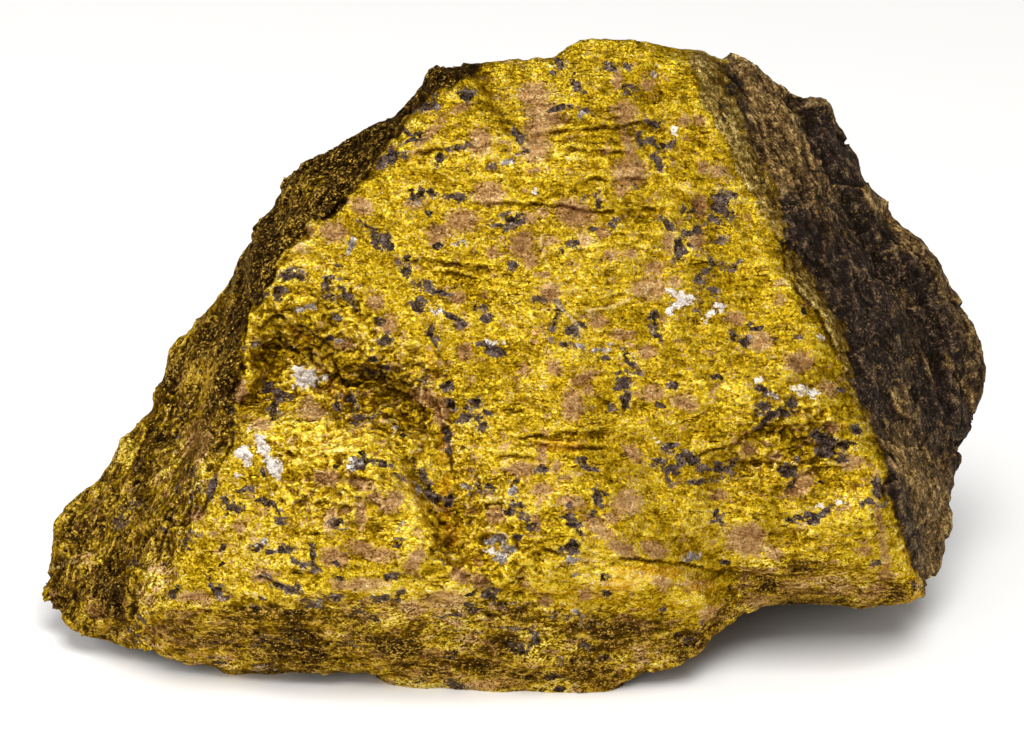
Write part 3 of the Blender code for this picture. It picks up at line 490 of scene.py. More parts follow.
class Marks:
    """What kind of surface each place of the skin is.

    Each mark runs from about 0 to 1, apart from those read from strokes and grains (plates, painted-lit
    plates, pale grains with painted highlight streaks, and bronze), which are depths in millimetres inside
    the nearest one.
    """

    def __init__(self, places, normals):
        self.seen = as_seen(places)
        self.wander = 0.35 * drift_sideways(places / 1.3, 50, 60)
        self.patchy = layered(places / 5.0, 70)
        self.front = smooth_step(-0.12, 0.08, normals[:, 2])
        self.mark_parts(places)
        self.mark_wear(normals)
        self.mark_minerals(places)
        self.mark_crust(places)
        self.mark_breaks(places)

    def mark_parts(self, places):
        """The crust, the strip beside it, the left flank and the undercut band."""
        ragged = self.wander + 0.6 * drift_sideways(places / 1.6, 52, 62)
        self.crust = smooth_step(-0.45, 0.55, right_of(self.seen + 1.8 * self.wander, CRUST_STARTS))
        off_gold = right_of(self.seen + self.wander, PALE_LINE_GOLD_TO_CRUST)
        self.strip = smooth_step(-0.35, 0.45, off_gold) * (1.0 - self.crust)
        self.into_flank = -right_of(self.seen + ragged, LEFT_FLANK_STARTS)
        self.flank = smooth_step(-0.5, 0.8, self.into_flank) * (1.0 - self.crust)
        under_brow = smooth_step(-0.4, 1.4, below(self.seen + self.wander, BROW))
        self.under = under_brow * (1.0 - self.crust) * (1.0 - self.flank)
        self.streak = self.front * np.maximum.reduce((self.under, 0.7 * self.flank, 0.35 * self.strip))

    def mark_wear(self, normals):
        """Painted shade in the hollows, painted highlight on the crests, and how far the gold is tarnished
        or weathered, the undercut band partly darkened as painted shade.
        """
        right, up = self.seen[:, 0], self.seen[:, 1]
        # painted shade: the gold darkened in the hollows and under the lips
        self.dirt = self.front * smooth_step(-1.1, 0.4, inside_strokes(self.seen, DIRTY_STROKES))
        # painted highlight: the gold lightened on the crests that catch the most light
        self.gleam = self.front * smooth_step(-1.2, 0.4, inside_strokes(self.seen, GLEAMING_STROKES))
        dark_top = smooth_step(31.0, 37.0, up)
        by_the_edge = smooth_step(3.2, 1.2, self.into_flank) * smooth_step(20.0, 38.0, up)
        low_fibres = smooth_step(4.5, 1.0, self.into_flank) * smooth_step(22.0, 14.0, up)
        dark_foot = smooth_step(-10.0, -24.0, right)
        on_flank = 0.45 + 0.44 * dark_top + 0.48 * by_the_edge - 0.20 * low_fibres + 0.44 * self.patchy
        # The undercut band faces down: it is darkened partly as painted shade, partly for its real dark
        # streaks.
        on_under = 0.31 + 0.14 * dark_foot + 0.42 * self.patchy
        on_strip = 0.26 + 0.25 * self.patchy
        at_rim = smooth_step(0.42, 0.05, normals[:, 2]) * 0.55
        in_front = np.maximum.reduce((
            self.crust, self.strip * on_strip, self.flank * on_flank, self.under * on_under, at_rim,
            0.12 * self.dirt,
        ))
        behind = 0.86 + 0.34 * self.patchy
        self.weathering = np.clip(self.front * in_front + (1.0 - self.front) * behind, 0.0, 1.0)

    def mark_minerals(self, places):
        """Plates, grains, bronze and smears: placed one by one where they show, scattered behind."""
        hidden = self.front < 0.5
        spot, _, number = nearest_grain(places / 2.6 + 0.3 * drift(places / 1.1, 80)[:, None], 90)
        none = -0.8
        plates_behind = np.where(number < 0.42, 0.9 * number + 0.05 - spot * 0.9, none) * 1.2
        silvery_behind = np.where(number < 0.05, 0.4 - spot, none)
        bronze_behind = np.where(number > 0.72, 0.55 - spot, none) * 1.6
        chip = nearest_grain(places / 0.62, 110)[2]
        torn = self.seen + 0.50 * (spread(chip, 17.0, 31.0) - 0.5)
        self.plates = np.where(hidden, plates_behind, inside_strokes(torn, DARK_PLATES))
        self.silvery = np.where(hidden, silvery_behind, inside_strokes(torn, SILVERY_PLATES))
        self.white = np.where(hidden, none, inside_strokes(torn, WHITE_GRAINS))
        self.bronze = np.where(hidden, bronze_behind, inside_strokes(self.seen, BRONZE_PATCHES) + 0.08)
        self.honey = self.front * smooth_step(-0.1, 0.3, inside_strokes(self.seen, HONEY_SMEARS))
        threads = off_lines(self.seen + 0.4 * self.wander, PALE_THREADS)[0]
        self.thread = self.front * smooth_step(0.13, 0.03, threads)

    def mark_crust(self, places):
        """Dust, soot with painted shadow in the valleys, and folds on the crust, and where the crust's own
        colours hold.
        """
        blurred = self.seen + 2.0 * self.wander
        behind = 1.0 - self.front
        self.dust = self.front * smooth_step(-0.9, 0.5, inside_strokes(blurred, DUST_STROKES))
        self.dust = np.maximum(self.dust, behind * smooth_step(0.0, 0.7, layered(places / 7.0, 95)))
        self.soot = self.front * smooth_step(-0.9, 0.5, inside_strokes(blurred, SOOT_STROKES))
        self.fold = self.front * smooth_step(1.2, 0.0, off_lines(self.seen + self.wander, CRUST_FOLDS)[0])
        crusted = smooth_step(0.3, 0.7, self.crust) * self.front
        crusted_behind = behind * smooth_step(-0.6, -0.3, self.patchy)
        self.rind = np.clip(np.maximum(crusted, crusted_behind), 0.0, 1.0)

    def mark_breaks(self, places):
        """Where the gold is crumpled, and the thin crevices with the lip above each."""
        crumple = np.zeros(len(places))
        for right, up, reach in CRUMPLED_SPOTS:
            away = np.hypot(self.seen[:, 0] - right, self.seen[:, 1] - up)
            crumple = np.maximum(crumple, smooth_step(reach, 0.35 * reach, away))
        self.crumple = crumple * self.front
        apart, above = off_lines(self.seen + 0.5 * self.wander, CREASES)
        broken = smooth_step(-0.45, 0.25, drift(places / 1.5, 97))
        # crease: a thin groove, darkened in the tone as the painted shade under its lip
        self.crease = self.front * smooth_step(0.24, 0.03, apart) * broken
        side = np.sign(above) * smooth_step(0.0, 0.12, np.abs(above))
        self.over_crease = self.front * smooth_step(1.4, 0.1, apart) * side


# ---------------------------------------------------------------- relief of the break


def ledges(places, spacing, waviness, seed):
    """Steps along the bedding: each bed ends in a small cliff at its lower edge."""
    waved = places[:, 1] + waviness * drift(places / (7.0, 2.6, 7.0), seed)
    long_wave = drift(np.stack((places[:, 0] / 14.0, waved / 4.0, places[:, 2] / 14.0), 1), seed + 7)
    level = waved / spacing + 0.8 * long_wave
    rise = level - np.floor(level)
    patchy = smooth_step(-0.25, 0.45, drift(places / (6.0, 3.0, 6.0), seed + 9))
    return smooth_step(0.0, 0.22, rise) * (1.0 - rise) * patchy


def hackle(places, long, tall, seed):
    """Sharp little crests, longer along the bedding than across it."""
    bend = np.stack([drift(places / (2.2 * tall), seed + k) for k in (5, 6, 7)], axis=1)
    return 0.5 - np.abs(drift((places + 0.35 * tall * bend) / (long, tall, long), seed))


def facets(places, long, tall, seed):
    """Flat little faces, each tilted its own way."""
    _, way, number = nearest_grain(places / (long, tall, long), seed)
    return np.einsum("ij,ij->i", way, spread(number, 17.0, 31.0, 53.0) * 2.0 - 1.0)


FLANK_FIBRES = 58.0
CRUST_FIBRES = -63.0


def leaned(places, degrees):
    """The places with their right axis turned up along fibres that lie at this slope."""
    turn = math.radians(degrees)
    right, up = places[:, 0], places[:, 1]
    along = right * np.cos(turn) + up * np.sin(turn)
    across = up * np.cos(turn) - right * np.sin(turn)
    return np.stack((along, across, places[:, 2]), axis=1)


def grain_places(places, marks):
    """The places turned so that their right axis follows the fibres of each part of the lump."""
    flank = smooth_step(0.44, 0.56, marks.flank)[:, None]
    crust = smooth_step(0.44, 0.56, marks.front * np.maximum(marks.crust, marks.strip))[:, None]
    plain = 1.0 - flank - crust
    return plain * places + flank * leaned(places, FLANK_FIBRES) + crust * leaned(places, CRUST_FIBRES)


def gold_relief(places, crumple):
    """The fresh break of the big face, hackliest where the gold is crumpled."""
    height = 0.24 * layered(places / (4.2, 2.8, 4.2), 61, 2)
    height += 0.22 * ledges(places, 2.6, 1.5, 11) + 0.10 * ledges(places, 1.1, 0.9, 21)
    height += (0.15 + 0.36 * crumple) * hackle(places, 1.5, 1.0, 31)
    height += (0.10 + 0.10 * crumple) * hackle(places, 0.7, 0.5, 41)
    height += (0.11 + 0.20 * crumple) * facets(places, 1.3, 0.85, 51)
    height += crumple * (0.8 * hackle(places, 4.5, 2.4, 71) + 0.52 * facets(places, 2.1, 1.3, 81))
    return height


def flank_relief(places):
    """Fibres and small faces up the left flank, which lies a little lower than the gold."""
    steep = leaned(places, FLANK_FIBRES)
    height = 0.56 * hackle(steep, 4.6, 2.2, 33) + 0.09 * hackle(steep, 1.7, 0.9, 43)
    height += 0.42 * facets(steep, 2.4, 1.3, 53)
    height += 0.09 * hackle(steep, 0.6, 0.4, 73) + 0.13 * facets(steep, 0.7, 0.5, 83) - 0.36
    return height


def crust_relief(places, fold):
    """Long folds and lumps down the weathered flank."""
    folded = leaned(places, CRUST_FIBRES)
    height = 0.9 * hackle(folded, 8.5, 3.4, 35) + 0.16 * hackle(folded, 3.0, 1.2, 45)
    height += 0.09 * layered(places / 0.9, 65, 2)
    height += 0.40 * facets(folded, 4.4, 2.4, 85) + 0.10 * facets(folded, 1.2, 0.8, 89) - 0.75 * fold
    return height


def back_relief(places):
    """The small roughness of the side that faces away."""
    height = 0.25 * layered(places / 3.0, 67, 3) + 0.12 * hackle(places, 0.9, 0.9, 47)
    height += 0.12 * facets(places, 1.6, 1.2, 87)
    return height


def relief(places, marks):
    """How far the broken surface stands out at each place."""
    gold = gold_relief(places, marks.crumple)
    on_crust = marks.front * np.clip(marks.crust + 0.5 * marks.strip, 0.0, 1.0)
    behind = 1.0 - marks.front
    height = gold * (1.0 - marks.flank) + flank_relief(places) * marks.flank
    height = height * (1.0 - on_crust) + crust_relief(places, marks.fold) * on_crust
    height = height * (1.0 - behind) + (0.3 * gold + back_relief(places)) * behind
    plated = smooth_step(-0.05, 0.12, np.maximum(marks.plates, marks.silvery)) * marks.front
    height *= 1.0 - 0.55 * plated - 0.2 * smooth_step(-0.1, 0.2, marks.bronze) * marks.front
    height -= 0.06 * plated
    height += 0.12 * smooth_step(-0.05, 0.2, marks.white)
    height += 0.10 * marks.thread - 0.20 * marks.dirt
    height += 0.14 * marks.over_crease - 0.20 * marks.crease
    return height


def swelling(seen, front):
    """How far the whole form swells or falls back at each place, as seen square on."""
    rise = np.zeros(len(seen))
    for right, up, reach, lift in SWELLINGS:
        rise += lift * smooth_step(reach, 0.0, np.hypot(seen[:, 0] - right, seen[:, 1] - up))
    return rise * np.clip(0.35 + front, 0.0, 1.0)


def broken_back(places, normals):
    """Big flat breaks on the side that faces away, cut into the form and at most 0.1 mm out of it."""
    rearward = smooth_step(-0.10, -0.50, normals[:, 2])
    blocks = 0.8 * layered(places / 12.0, 91, 2)
    blocks = blocks + 1.5 * facets(places, 11.0, 8.0, 93) + 0.35 * facets(places, 4.0, 3.2, 55)
    return rearward * np.minimum(blocks - 1.1, 0.1)


# ---------------------------------------------------------------- the skin


def with_modifier(mesh, kind, values, chosen=None):
    """The mesh after one modifier; the chosen points, if any, are in the group named chosen."""
    working = bpy.data.objects.new("working", mesh)
    bpy.context.scene.collection.objects.link(working)
    if chosen is not None:
        working.vertex_groups.new(name="chosen").add(np.flatnonzero(chosen).tolist(), 1.0, "REPLACE")
    modifier = working.modifiers.new(kind.title(), kind)
    for name, value in values.items():
        setattr(modifier, name, value)
    graph = bpy.context.evaluated_depsgraph_get()
    result = bpy.data.meshes.new_from_object(working.evaluated_get(graph))
    bpy.data.objects.remove(working, do_unlink=True)
    return result


WELD_GAP = 0.000001


def welded(mesh):
    """A copy of the mesh with the points that lie on each other joined."""
    body = bmesh.new()
    body.from_mesh(mesh)
    bmesh.ops.remove_doubles(body, verts=body.verts, dist=WELD_GAP)
    whole = bpy.data.meshes.new("welded")
    body.to_mesh(whole)
    body.free()
    return whole


def places_of(mesh):
    """Places of the mesh's points, in the row frame."""
    flat = np.empty(len(mesh.vertices) * 3)
    mesh.vertices.foreach_get("co", flat)
    return flat.reshape(-1, 3)


def normals_of(mesh):
    """Normals of the mesh's points, in the frame of the big face."""
    flat = np.empty(len(mesh.vertices) * 3)
    mesh.vertices.foreach_get("normal", flat)
    return flat.reshape(-1, 3) @ FACE_AXES.T


def edges_of(mesh):
    flat = np.empty(len(mesh.edges) * 2, dtype=np.int32)
    mesh.edges.foreach_get("vertices", flat)
    return flat.reshape(-1, 2)


def eased(values, edges, rounds):
    """Values averaged with their neighbours' along the edges, round after round."""
    first, second = edges[:, 0], edges[:, 1]
    count = np.bincount(edges.ravel(), minlength=len(values))[:, None]
    for _ in range(rounds):
        total = np.stack([
            np.bincount(first, weights=values[second, k], minlength=len(values))
            + np.bincount(second, weights=values[first, k], minlength=len(values))
            for k in range(values.shape[1])
        ], axis=1)
        values = 0.5 * values + 0.5 * total / count
    return values


def place_points(mesh, places):
    mesh.vertices.foreach_set("co", places.ravel())
    mesh.update()


def triangles_of(mesh):
    return sum(len(face.vertices) - 2 for face in mesh.polygons)


def thinned(mesh, triangles, chosen=None):
    """The mesh brought down to so many triangles, the flattest places first; only chosen points go."""
    values = {"ratio": min(1.0, triangles / triangles_of(mesh)), "use_collapse_triangulate": True}
    if chosen is not None:
        values["vertex_group"] = "chosen"
    return with_modifier(mesh, "DECIMATE", values, chosen)


SKIN_FINENESS = 0.00023
SKIN_TRIANGLES = 197000
BACK_SHARE = 0.17
SMOOTHING_ROUNDS = 12
BACK_ROUNDS = 120
BROKEN_BACK_ROUNDS = 8
SOLE_HEIGHT = 0.0004
# The relief grows from nothing at the first height above the table to all of it at the second.
RELIEF_STARTS = 0.0001
RELIEF_WHOLE = 0.0012


def eased_form(mesh):
    """The remeshed solid with its facets eased, the unseen side most, and its sole left flat."""
    edges = edges_of(mesh)
    blocky = places_of(mesh)
    sole = blocky[:, 2] < SOLE_HEIGHT
    form = eased(blocky, edges, SMOOTHING_ROUNDS)
    place_points(mesh, form)
    behind = eased(smooth_step(0.02, -0.22, normals_of(mesh)[:, 2:]), edges, SMOOTHING_ROUNDS)
    form += behind * (eased(form, edges, BACK_ROUNDS) - form)
    form[sole, 2] = blocky[sole, 2]
    place_points(mesh, form)
    return form, sole


def fine_skin(solid):
    """The lump's skin with all of its relief, at rest on the same flat sole as the solid."""
    fineness = {"mode": "VOXEL", "voxel_size": SKIN_FINENESS}
    mesh = with_modifier(welded(solid.data), "REMESH", fineness)
    form, sole = eased_form(mesh)
    places, normals = to_face(form), normals_of(mesh)
    marks = Marks(places, normals)
    height = relief(places, marks)
    height -= height.mean()
    height += swelling(as_seen(places), marks.front)
    height += eased(broken_back(places, normals)[:, None], edges_of(mesh), BROKEN_BACK_ROUNDS)[:, 0]
    height *= smooth_step(RELIEF_STARTS, RELIEF_WHOLE, form[:, 2])
    rough = to_row(places + normals * height[:, None])
    rough[:, 2] = np.maximum(rough[:, 2], 0.0)
    rough[sole, 2] = 0.0
    place_points(mesh, rough)
    away = marks.front < 0.5
    seen_triangles = triangles_of(mesh) * (1.0 - away.mean())
    mesh = thinned(mesh, seen_triangles + BACK_SHARE * SKIN_TRIANGLES, away)
    return thinned(mesh, SKIN_TRIANGLES)


def note(mesh, name, values, kind="FLOAT"):
    """Writes one number or one place onto each point of the mesh."""
    attribute = mesh.attributes.new(name, kind, "POINT")
    attribute.data.foreach_set("vector" if kind == "FLOAT_VECTOR" else "value", values.ravel())


NOTED_MARKS = (
    "weathering", "dust", "plates", "silvery", "white", "bronze", "honey", "crease", "thread", "rind",
    "dirt", "gleam", "soot", "strip", "streak",
)
NORMAL_ROUNDS = 3
# Crests are told from a near and a wider neighbourhood: the rounds of easing that reach over each,
# and how far, in millimetres, a full crest stands above it.
NEAR_ROUNDS = 2
NEAR_CREST = 0.05
WIDE_ROUNDS = 14
WIDE_CREST = 0.22


def note_marks(mesh):
    """Writes onto the skin what its material reads."""
    edges = edges_of(mesh)
    places = to_face(places_of(mesh))
    normals = eased(normals_of(mesh), edges, NORMAL_ROUNDS)
    normals /= np.linalg.norm(normals, axis=1)[:, None]
    marks = Marks(places, normals)
    above_near = places - eased(places, edges, NEAR_ROUNDS)
    above_wide = places - eased(places, edges, WIDE_ROUNDS)
    near = np.einsum("ij,ij->i", above_near, normals) / NEAR_CREST
    wide = np.einsum("ij,ij->i", above_wide, normals) / WIDE_CREST
    note(mesh, "place", places, "FLOAT_VECTOR")
    note(mesh, "grain", grain_places(places, marks), "FLOAT_VECTOR")
    # crests: the material lightens them as painted highlight and darkens the hollows between as painted
    # shade
    note(mesh, "crests", np.clip(0.5 + 0.28 * near + 0.22 * wide, 0.0, 1.0))
    for name in NOTED_MARKS:
        note(mesh, name, getattr(marks, name))

# ---------------------------------------------------------------- wiring a material


def rgb(red, green, blue):
    """A screen colour from 0 to 255 as the linear colour a shader takes."""
    def linear(share):
        return share / 12.92 if share <= 0.04045 else ((share + 0.055) / 1.055) ** 2.4
    return tuple(linear(level / 255.0) for level in (red, green, blue)) + (1.0,)


class Wiring:
    """Adds nodes to one node tree and wires them up."""

    def __init__(self, tree):
        self.tree = tree

    def add(self, kind, *inputs, **settings):
        """A node whose inputs, in order, are sockets, plain values or None for left alone."""
        node = self.tree.nodes.new(kind)
        for name, value in settings.items():
            setattr(node, name, value)
        for socket, value in zip(node.inputs, inputs):
            self.feed(socket, value)
        return node

    def feed(self, socket, value):
        if isinstance(value, bpy.types.NodeSocket):
            self.tree.links.new(value, socket)
        elif value is not None:
            socket.default_value = value

    def feed_named(self, node, values):
        for name, value in values.items():
            self.feed(node.inputs[name], value)

    def math(self, operation, *values):
        return self.add("ShaderNodeMath", *values, operation=operation).outputs[0]

    def vector(self, operation, *values):
        return self.add("ShaderNodeVectorMath", *values, operation=operation).outputs[0]

    def field(self, name):
        """A mark noted on the skin's points."""
        return self.add("ShaderNodeAttribute", attribute_name=name).outputs["Fac"]

    def place_field(self, name):
        """A place noted on the skin's points."""
        return self.add("ShaderNodeAttribute", attribute_name=name).outputs["Vector"]

    def span(self, value, low, high, to_low=0.0, to_high=1.0):
        """The value's place between low and high, held to the new range."""
        return self.add("ShaderNodeMapRange", value, low, high, to_low, to_high).outputs[0]

    def scaled(self, places, sizes):
        """Texture places with features of these sizes in millimetres, right, up and out."""
        return self.vector("MULTIPLY", places, tuple(1.0 / size for size in sizes))

    def noise(self, places, detail, roughness, bend=0.0, output="Fac"):
        """Noise from 0 to 1 with one wave per unit, or three such noises as a colour."""
        node = self.add("ShaderNodeTexNoise", places)
        self.feed_named(node, {"Scale": 1.0, "Detail": detail, "Roughness": roughness, "Distortion": bend})
        return node.outputs[output]

    def cells(self, places):
        """A random colour for each little grain."""
        return self.add("ShaderNodeTexVoronoi", places, None, 1.0).outputs["Color"]

    def one_of(self, colour):
        """One number from 0 to 1 out of a grain's random colour."""
        return self.add("ShaderNodeSeparateColor", colour).outputs[0]

    def cracks(self, places, width):
        """Thin lines between the cells, 1 in the middle of a line."""
        node = self.add("ShaderNodeTexVoronoi", places, None, 1.0, feature="DISTANCE_TO_EDGE")
        return self.span(node.outputs["Distance"], width, 0.0)

    def blend(self, share, first, second):
        """The first colour at share 0 and the second at share 1."""
        node = self.add("ShaderNodeMix", data_type="RGBA")
        for index, value in ((0, share), (6, first), (7, second)):
            self.feed(node.inputs[index], value)
        return node.outputs[2]

    def between(self, share, first, second):
        """The first number at share 0 and the second at share 1."""
        return self.add("ShaderNodeMix", share, None, first, second).outputs[0]

    def ramp(self, value, stops):
        """A colour ramp through (position, colour) stops."""
        node = self.add("ShaderNodeValToRGB", value)
        elements = node.color_ramp.elements
        for spare in list(elements)[1:]:
            elements.remove(spare)
        elements[0].position, elements[0].color = stops[0]
        for position, colour in stops[1:]:
            elements.new(position).color = colour
        return node.outputs[0]


# ---------------------------------------------------------------- the ore's colours

# Each ramp runs from its darkest places to its brightest.
GOLD = (
    (0.08, rgb(70, 47, 0)), (0.28, rgb(130, 99, 5)), (0.5, rgb(193, 159, 26)), (0.7, rgb(238, 207, 60)),
    (0.92, rgb(255, 246, 150)),
)
HONEY = ((0.1, rgb(92, 52, 0)), (0.5, rgb(190, 136, 16)), (0.9, rgb(250, 204, 80)))
BRONZE = (
    (0.1, rgb(98, 62, 30)), (0.38, rgb(152, 110, 68)), (0.62, rgb(190, 150, 104)),
    (0.92, rgb(226, 190, 140)),
)
PLATE = (
    (0.15, rgb(8, 5, 5)), (0.34, rgb(40, 30, 27)), (0.5, rgb(84, 68, 60)), (0.7, rgb(114, 96, 86)),
    (0.92, rgb(196, 178, 164)),
)
# Colours of the plates painted lit: a painted highlight on the dark plates.
SILVER = ((0.1, rgb(40, 34, 32)), (0.5, rgb(128, 116, 110)), (0.95, rgb(232, 226, 220)))
# Colours of the pale grains and of the painted highlight streaks.
WHITE = ((0.1, rgb(58, 44, 30)), (0.4, rgb(156, 140, 124)), (0.8, rgb(240, 232, 222)))
TARNISH = (
    (0.1, rgb(10, 4, 0)), (0.4, rgb(46, 27, 5)), (0.68, rgb(108, 80, 28)), (0.95, rgb(204, 166, 70)),
)
# Colours of the soot-black patches and of the painted shadow in the crust's valleys.
SOOT = ((0.1, rgb(8, 5, 6)), (0.42, rgb(32, 24, 23)), (0.68, rgb(60, 47, 40)), (0.95, rgb(122, 98, 70)))
CRUST = (
    (0.1, rgb(12, 7, 4)), (0.42, rgb(46, 33, 22)), (0.68, rgb(84, 63, 40)), (0.95, rgb(156, 124, 78)),
)
DUST = (
    (0.1, rgb(36, 24, 12)), (0.4, rgb(88, 66, 38)), (0.65, rgb(136, 107, 64)), (0.95, rgb(218, 184, 116)),
)
STRIP = (
    (0.1, rgb(40, 29, 14)), (0.4, rgb(112, 89, 46)), (0.62, rgb(186, 157, 90)), (0.9, rgb(255, 236, 166)),
)
THREAD = rgb(214, 186, 130)
# Colour of the crust's painted glints.
SPARKLE = rgb(160, 128, 70)
SHEEN = rgb(255, 216, 130)

# ---------------------------------------------------------------- the ore's patterns

# Each noise: the places it follows, its sizes in millimetres right, up and out, and its detail,
# roughness and bend.  Noises on the grain places run along the fibres of each part of the lump.
NOISES = {
    "fleck": ("place", (0.18, 0.13, 0.15), 2.0, 0.6, 0.6),
    "felt": ("place", (0.42, 0.34, 0.38), 3.0, 0.68, 0.9),
    "cloud": ("place", (5.0, 3.4, 4.0), 3.0, 0.6, 0.0),
    "grit": ("place", (0.42, 0.36, 0.42), 3.0, 0.77, 0.0),
    "bronze_drift": ("place", (1.5, 1.1, 1.5), 3.0, 0.6, 0.0),
    "seam_gaps": ("place", (3.0, 1.6, 3.0), 1.0, 0.6, 0.0),
    "seam_drift": ("grain", (4.6, 1.0, 2.0), 2.0, 0.6, 0.0),
    "fibre": ("grain", (2.4, 0.45, 0.7), 3.0, 0.70, 0.4),
    "thin": ("grain", (1.5, 0.2, 0.5), 2.0, 0.62, 0.0),
    "clump": ("grain", (1.9, 0.9, 1.5), 2.0, 0.65, 0.0),
    "mottled": ("grain", (1.3, 0.7, 1.0), 3.0, 0.62, 0.0),
}
LEAF_SIZES = (0.165, 0.15, 0.16)
CHIP_SIZES = (0.46, 0.4, 0.44)
CRACK_SIZES = (2.2, 1.1, 1.6)
CRACK_WIDTH = 0.07
STRAY_PLATE_SIZES = (0.7, 0.5, 0.7)
STIR_SIZES = (0.1, 0.1, 0.1)
# How far, in grains, the stirring pushes the edges of leaves, chips and cracks about.
STIR = (1.6, 1.6, 1.6)
BUMP_HEIGHT = 0.00035


class Ore:
    """The ore's patterns and the skin's marks, each known by its name."""

    def __init__(self, wire):
        self.wire = wire
        self.known = {name: wire.place_field(name) for name in ("place", "grain")}
        for name, (follows, sizes, detail, roughness, bend) in NOISES.items():
            self.known[name] = wire.noise(wire.scaled(self[follows], sizes), detail, roughness, bend)
        stir = wire.noise(wire.scaled(self["place"], STIR_SIZES), 1.0, 0.5, output="Color")
        stirred = wire.vector("MULTIPLY", stir, STIR)
        self.leaf_colour = wire.cells(wire.vector("ADD", wire.scaled(self["place"], LEAF_SIZES), stirred))
        chip_colour = wire.cells(wire.vector("ADD", wire.scaled(self["place"], CHIP_SIZES), stirred))
        self.known["leaf"] = wire.one_of(self.leaf_colour)
        self.known["chip"] = wire.one_of(chip_colour)
        cracked = wire.vector("ADD", wire.scaled(self["grain"], CRACK_SIZES), stirred)
        self.known["crack"] = wire.cracks(cracked, CRACK_WIDTH)
        off_seam = wire.math("ABSOLUTE", self.mix(-0.5, seam_drift=1.0))
        self.known["seam"] = wire.math(
            "MULTIPLY", wire.span(off_seam, 0.014, 0.002), wire.span(self["seam_gaps"], 0.5, 0.6),
        )

    def __getitem__(self, name):
        """The pattern of this name, or else the mark of this name on the skin."""
        if name not in self.known:
            self.known[name] = self.wire.field(name)
        return self.known[name]

    def mix(self, start, **amounts):
        """Start plus each named pattern or mark times its amount."""
        for name, amount in amounts.items():
            start = self.wire.math("MULTIPLY_ADD", self[name], amount, start)
        return start

    def note_tones(self):
        """The mixes that the colours are read from and the edges of the marks are torn by."""
        wire, known = self.wire, self.known
        fine = self.mix(-0.73, fleck=0.62, felt=0.46, leaf=0.38)
        known["fine"] = wire.math("MULTIPLY", fine, wire.span(self["streak"], 0.0, 1.0, 1.0, 2.5))
        strands = self.mix(-1.0, fibre=1.0, thin=1.0)
        known["streaks"] = wire.math("MULTIPLY", strands, wire.span(self["streak"], 0.0, 1.0, 0.16, 0.95))
        # Painted light in the tone: crests lightened as painted highlight and hollows darkened as painted
        # shade, creases darkened as the painted shade under their lips, the painted shade and painted
        # highlight strokes, and the wear that darkens the undercut band partly as painted shade.
        known["tone"] = self.mix(
            -0.04, fine=1.0, streaks=1.0, crests=0.38, cloud=0.60, seam=-0.42, crease=-0.28, dirt=-0.09,
            gleam=0.14, weathering=-0.12,
        )
        known["edge"] = self.mix(-0.38, chip=0.34, felt=0.40)
        known["mottle"] = self.mix(-1.20, felt=1.0, fleck=0.6, leaf=0.5, cloud=0.4)
        known["speck"] = self.mix(0.0, chip=0.42, leaf=0.30, fleck=0.6, felt=1.1)
        known["blotch"] = self.mix(-0.85, cloud=0.7, fibre=0.5, grit=0.5)

    def gold(self):
        """The fresh gold, with its honey-coloured smears."""
        wire, tone = self.wire, self["tone"]
        honey_share = wire.math("MULTIPLY", self["honey"], 0.75)
        return wire.blend(honey_share, wire.ramp(tone, GOLD), wire.ramp(tone, HONEY))

    def crust(self):
        """The weathered crust: brown, dusty, or soot-black with painted shadow in its valleys, and a few
        pale specks painted in as glints.
        """
        wire, known = self.wire, self.known
        # crests lighter and hollows darker here too: painted highlight and painted shade
        tone = self.mix(
            -1.88, crests=0.5, grit=0.9, fibre=0.45, cloud=0.5, mottled=1.3, crack=-0.2, leaf=0.5,
            fleck=0.5,
        )
        known["dusty"] = wire.span(self.mix(0.0, dust=1.0, blotch=1.0, crests=0.3), 0.36, 1.0)
        # soot-black patches and painted shadow, darker in the hollows as painted shade
        sooty = wire.span(self.mix(0.0, soot=1.0, blotch=1.0, crests=-0.3), 0.0, 0.6)
        # painted highlight: single grains on the crust lightened in colour as glints
        sparkle = self.mix(0.0, leaf=1.0, fleck=0.9, dusty=0.12, cloud=0.3)
        colour = wire.blend(known["dusty"], wire.ramp(tone, CRUST), wire.ramp(tone, DUST))
        colour = wire.blend(sooty, colour, wire.ramp(tone, SOOT))
        return wire.blend(wire.span(sparkle, 1.66, 1.72, 0.0, 0.6), colour, SPARKLE)

    def layers(self):
        """What lies over the gold, lowest first: its share, colour, metal and roughness."""
        wire, known = self.wire, self.known
        stray_bronze = wire.span(self.mix(0.0, bronze_drift=1.0, streak=0.08), 0.56, 0.70, -0.3, 0.12)
        known["bronze_depth"] = wire.math("MAXIMUM", self["bronze"], stray_bronze)
        stray_plate = wire.one_of(wire.cells(wire.scaled(self["place"], STRAY_PLATE_SIZES)))
        stray_plate = wire.span(stray_plate, 0.992, 0.994, -0.8, 0.14)
        known["plate_depth"] = wire.math("MAXIMUM", self["plates"], stray_plate)
        # wear with painted shade: the undercut band and the shaded hollows are darkened through it too
        wear = self.mix(
            -1.55, weathering=1.0, fibre=0.6, thin=0.5, felt=0.7, fleck=0.6, leaf=0.6, clump=0.6,
            crests=-0.5,
        )
        bronze_share = wire.span(self.mix(0.0, bronze_depth=1.0, mottle=1.0), -0.03, 0.06, 0.0, 0.92)
        strip_share = wire.span(self.mix(0.0, strip=1.0, mottle=2.0), 0.55, 0.72, 0.0, 0.9)
        plate_share = wire.span(self.mix(0.09, plate_depth=1.0, edge=1.0), 0.0, 0.025)
        # painted highlight: plates of the dark kind given a lighter colour where they catch the light
        silver_share = wire.span(self.mix(0.0, silvery=1.0, edge=1.0), 0.0, 0.03)
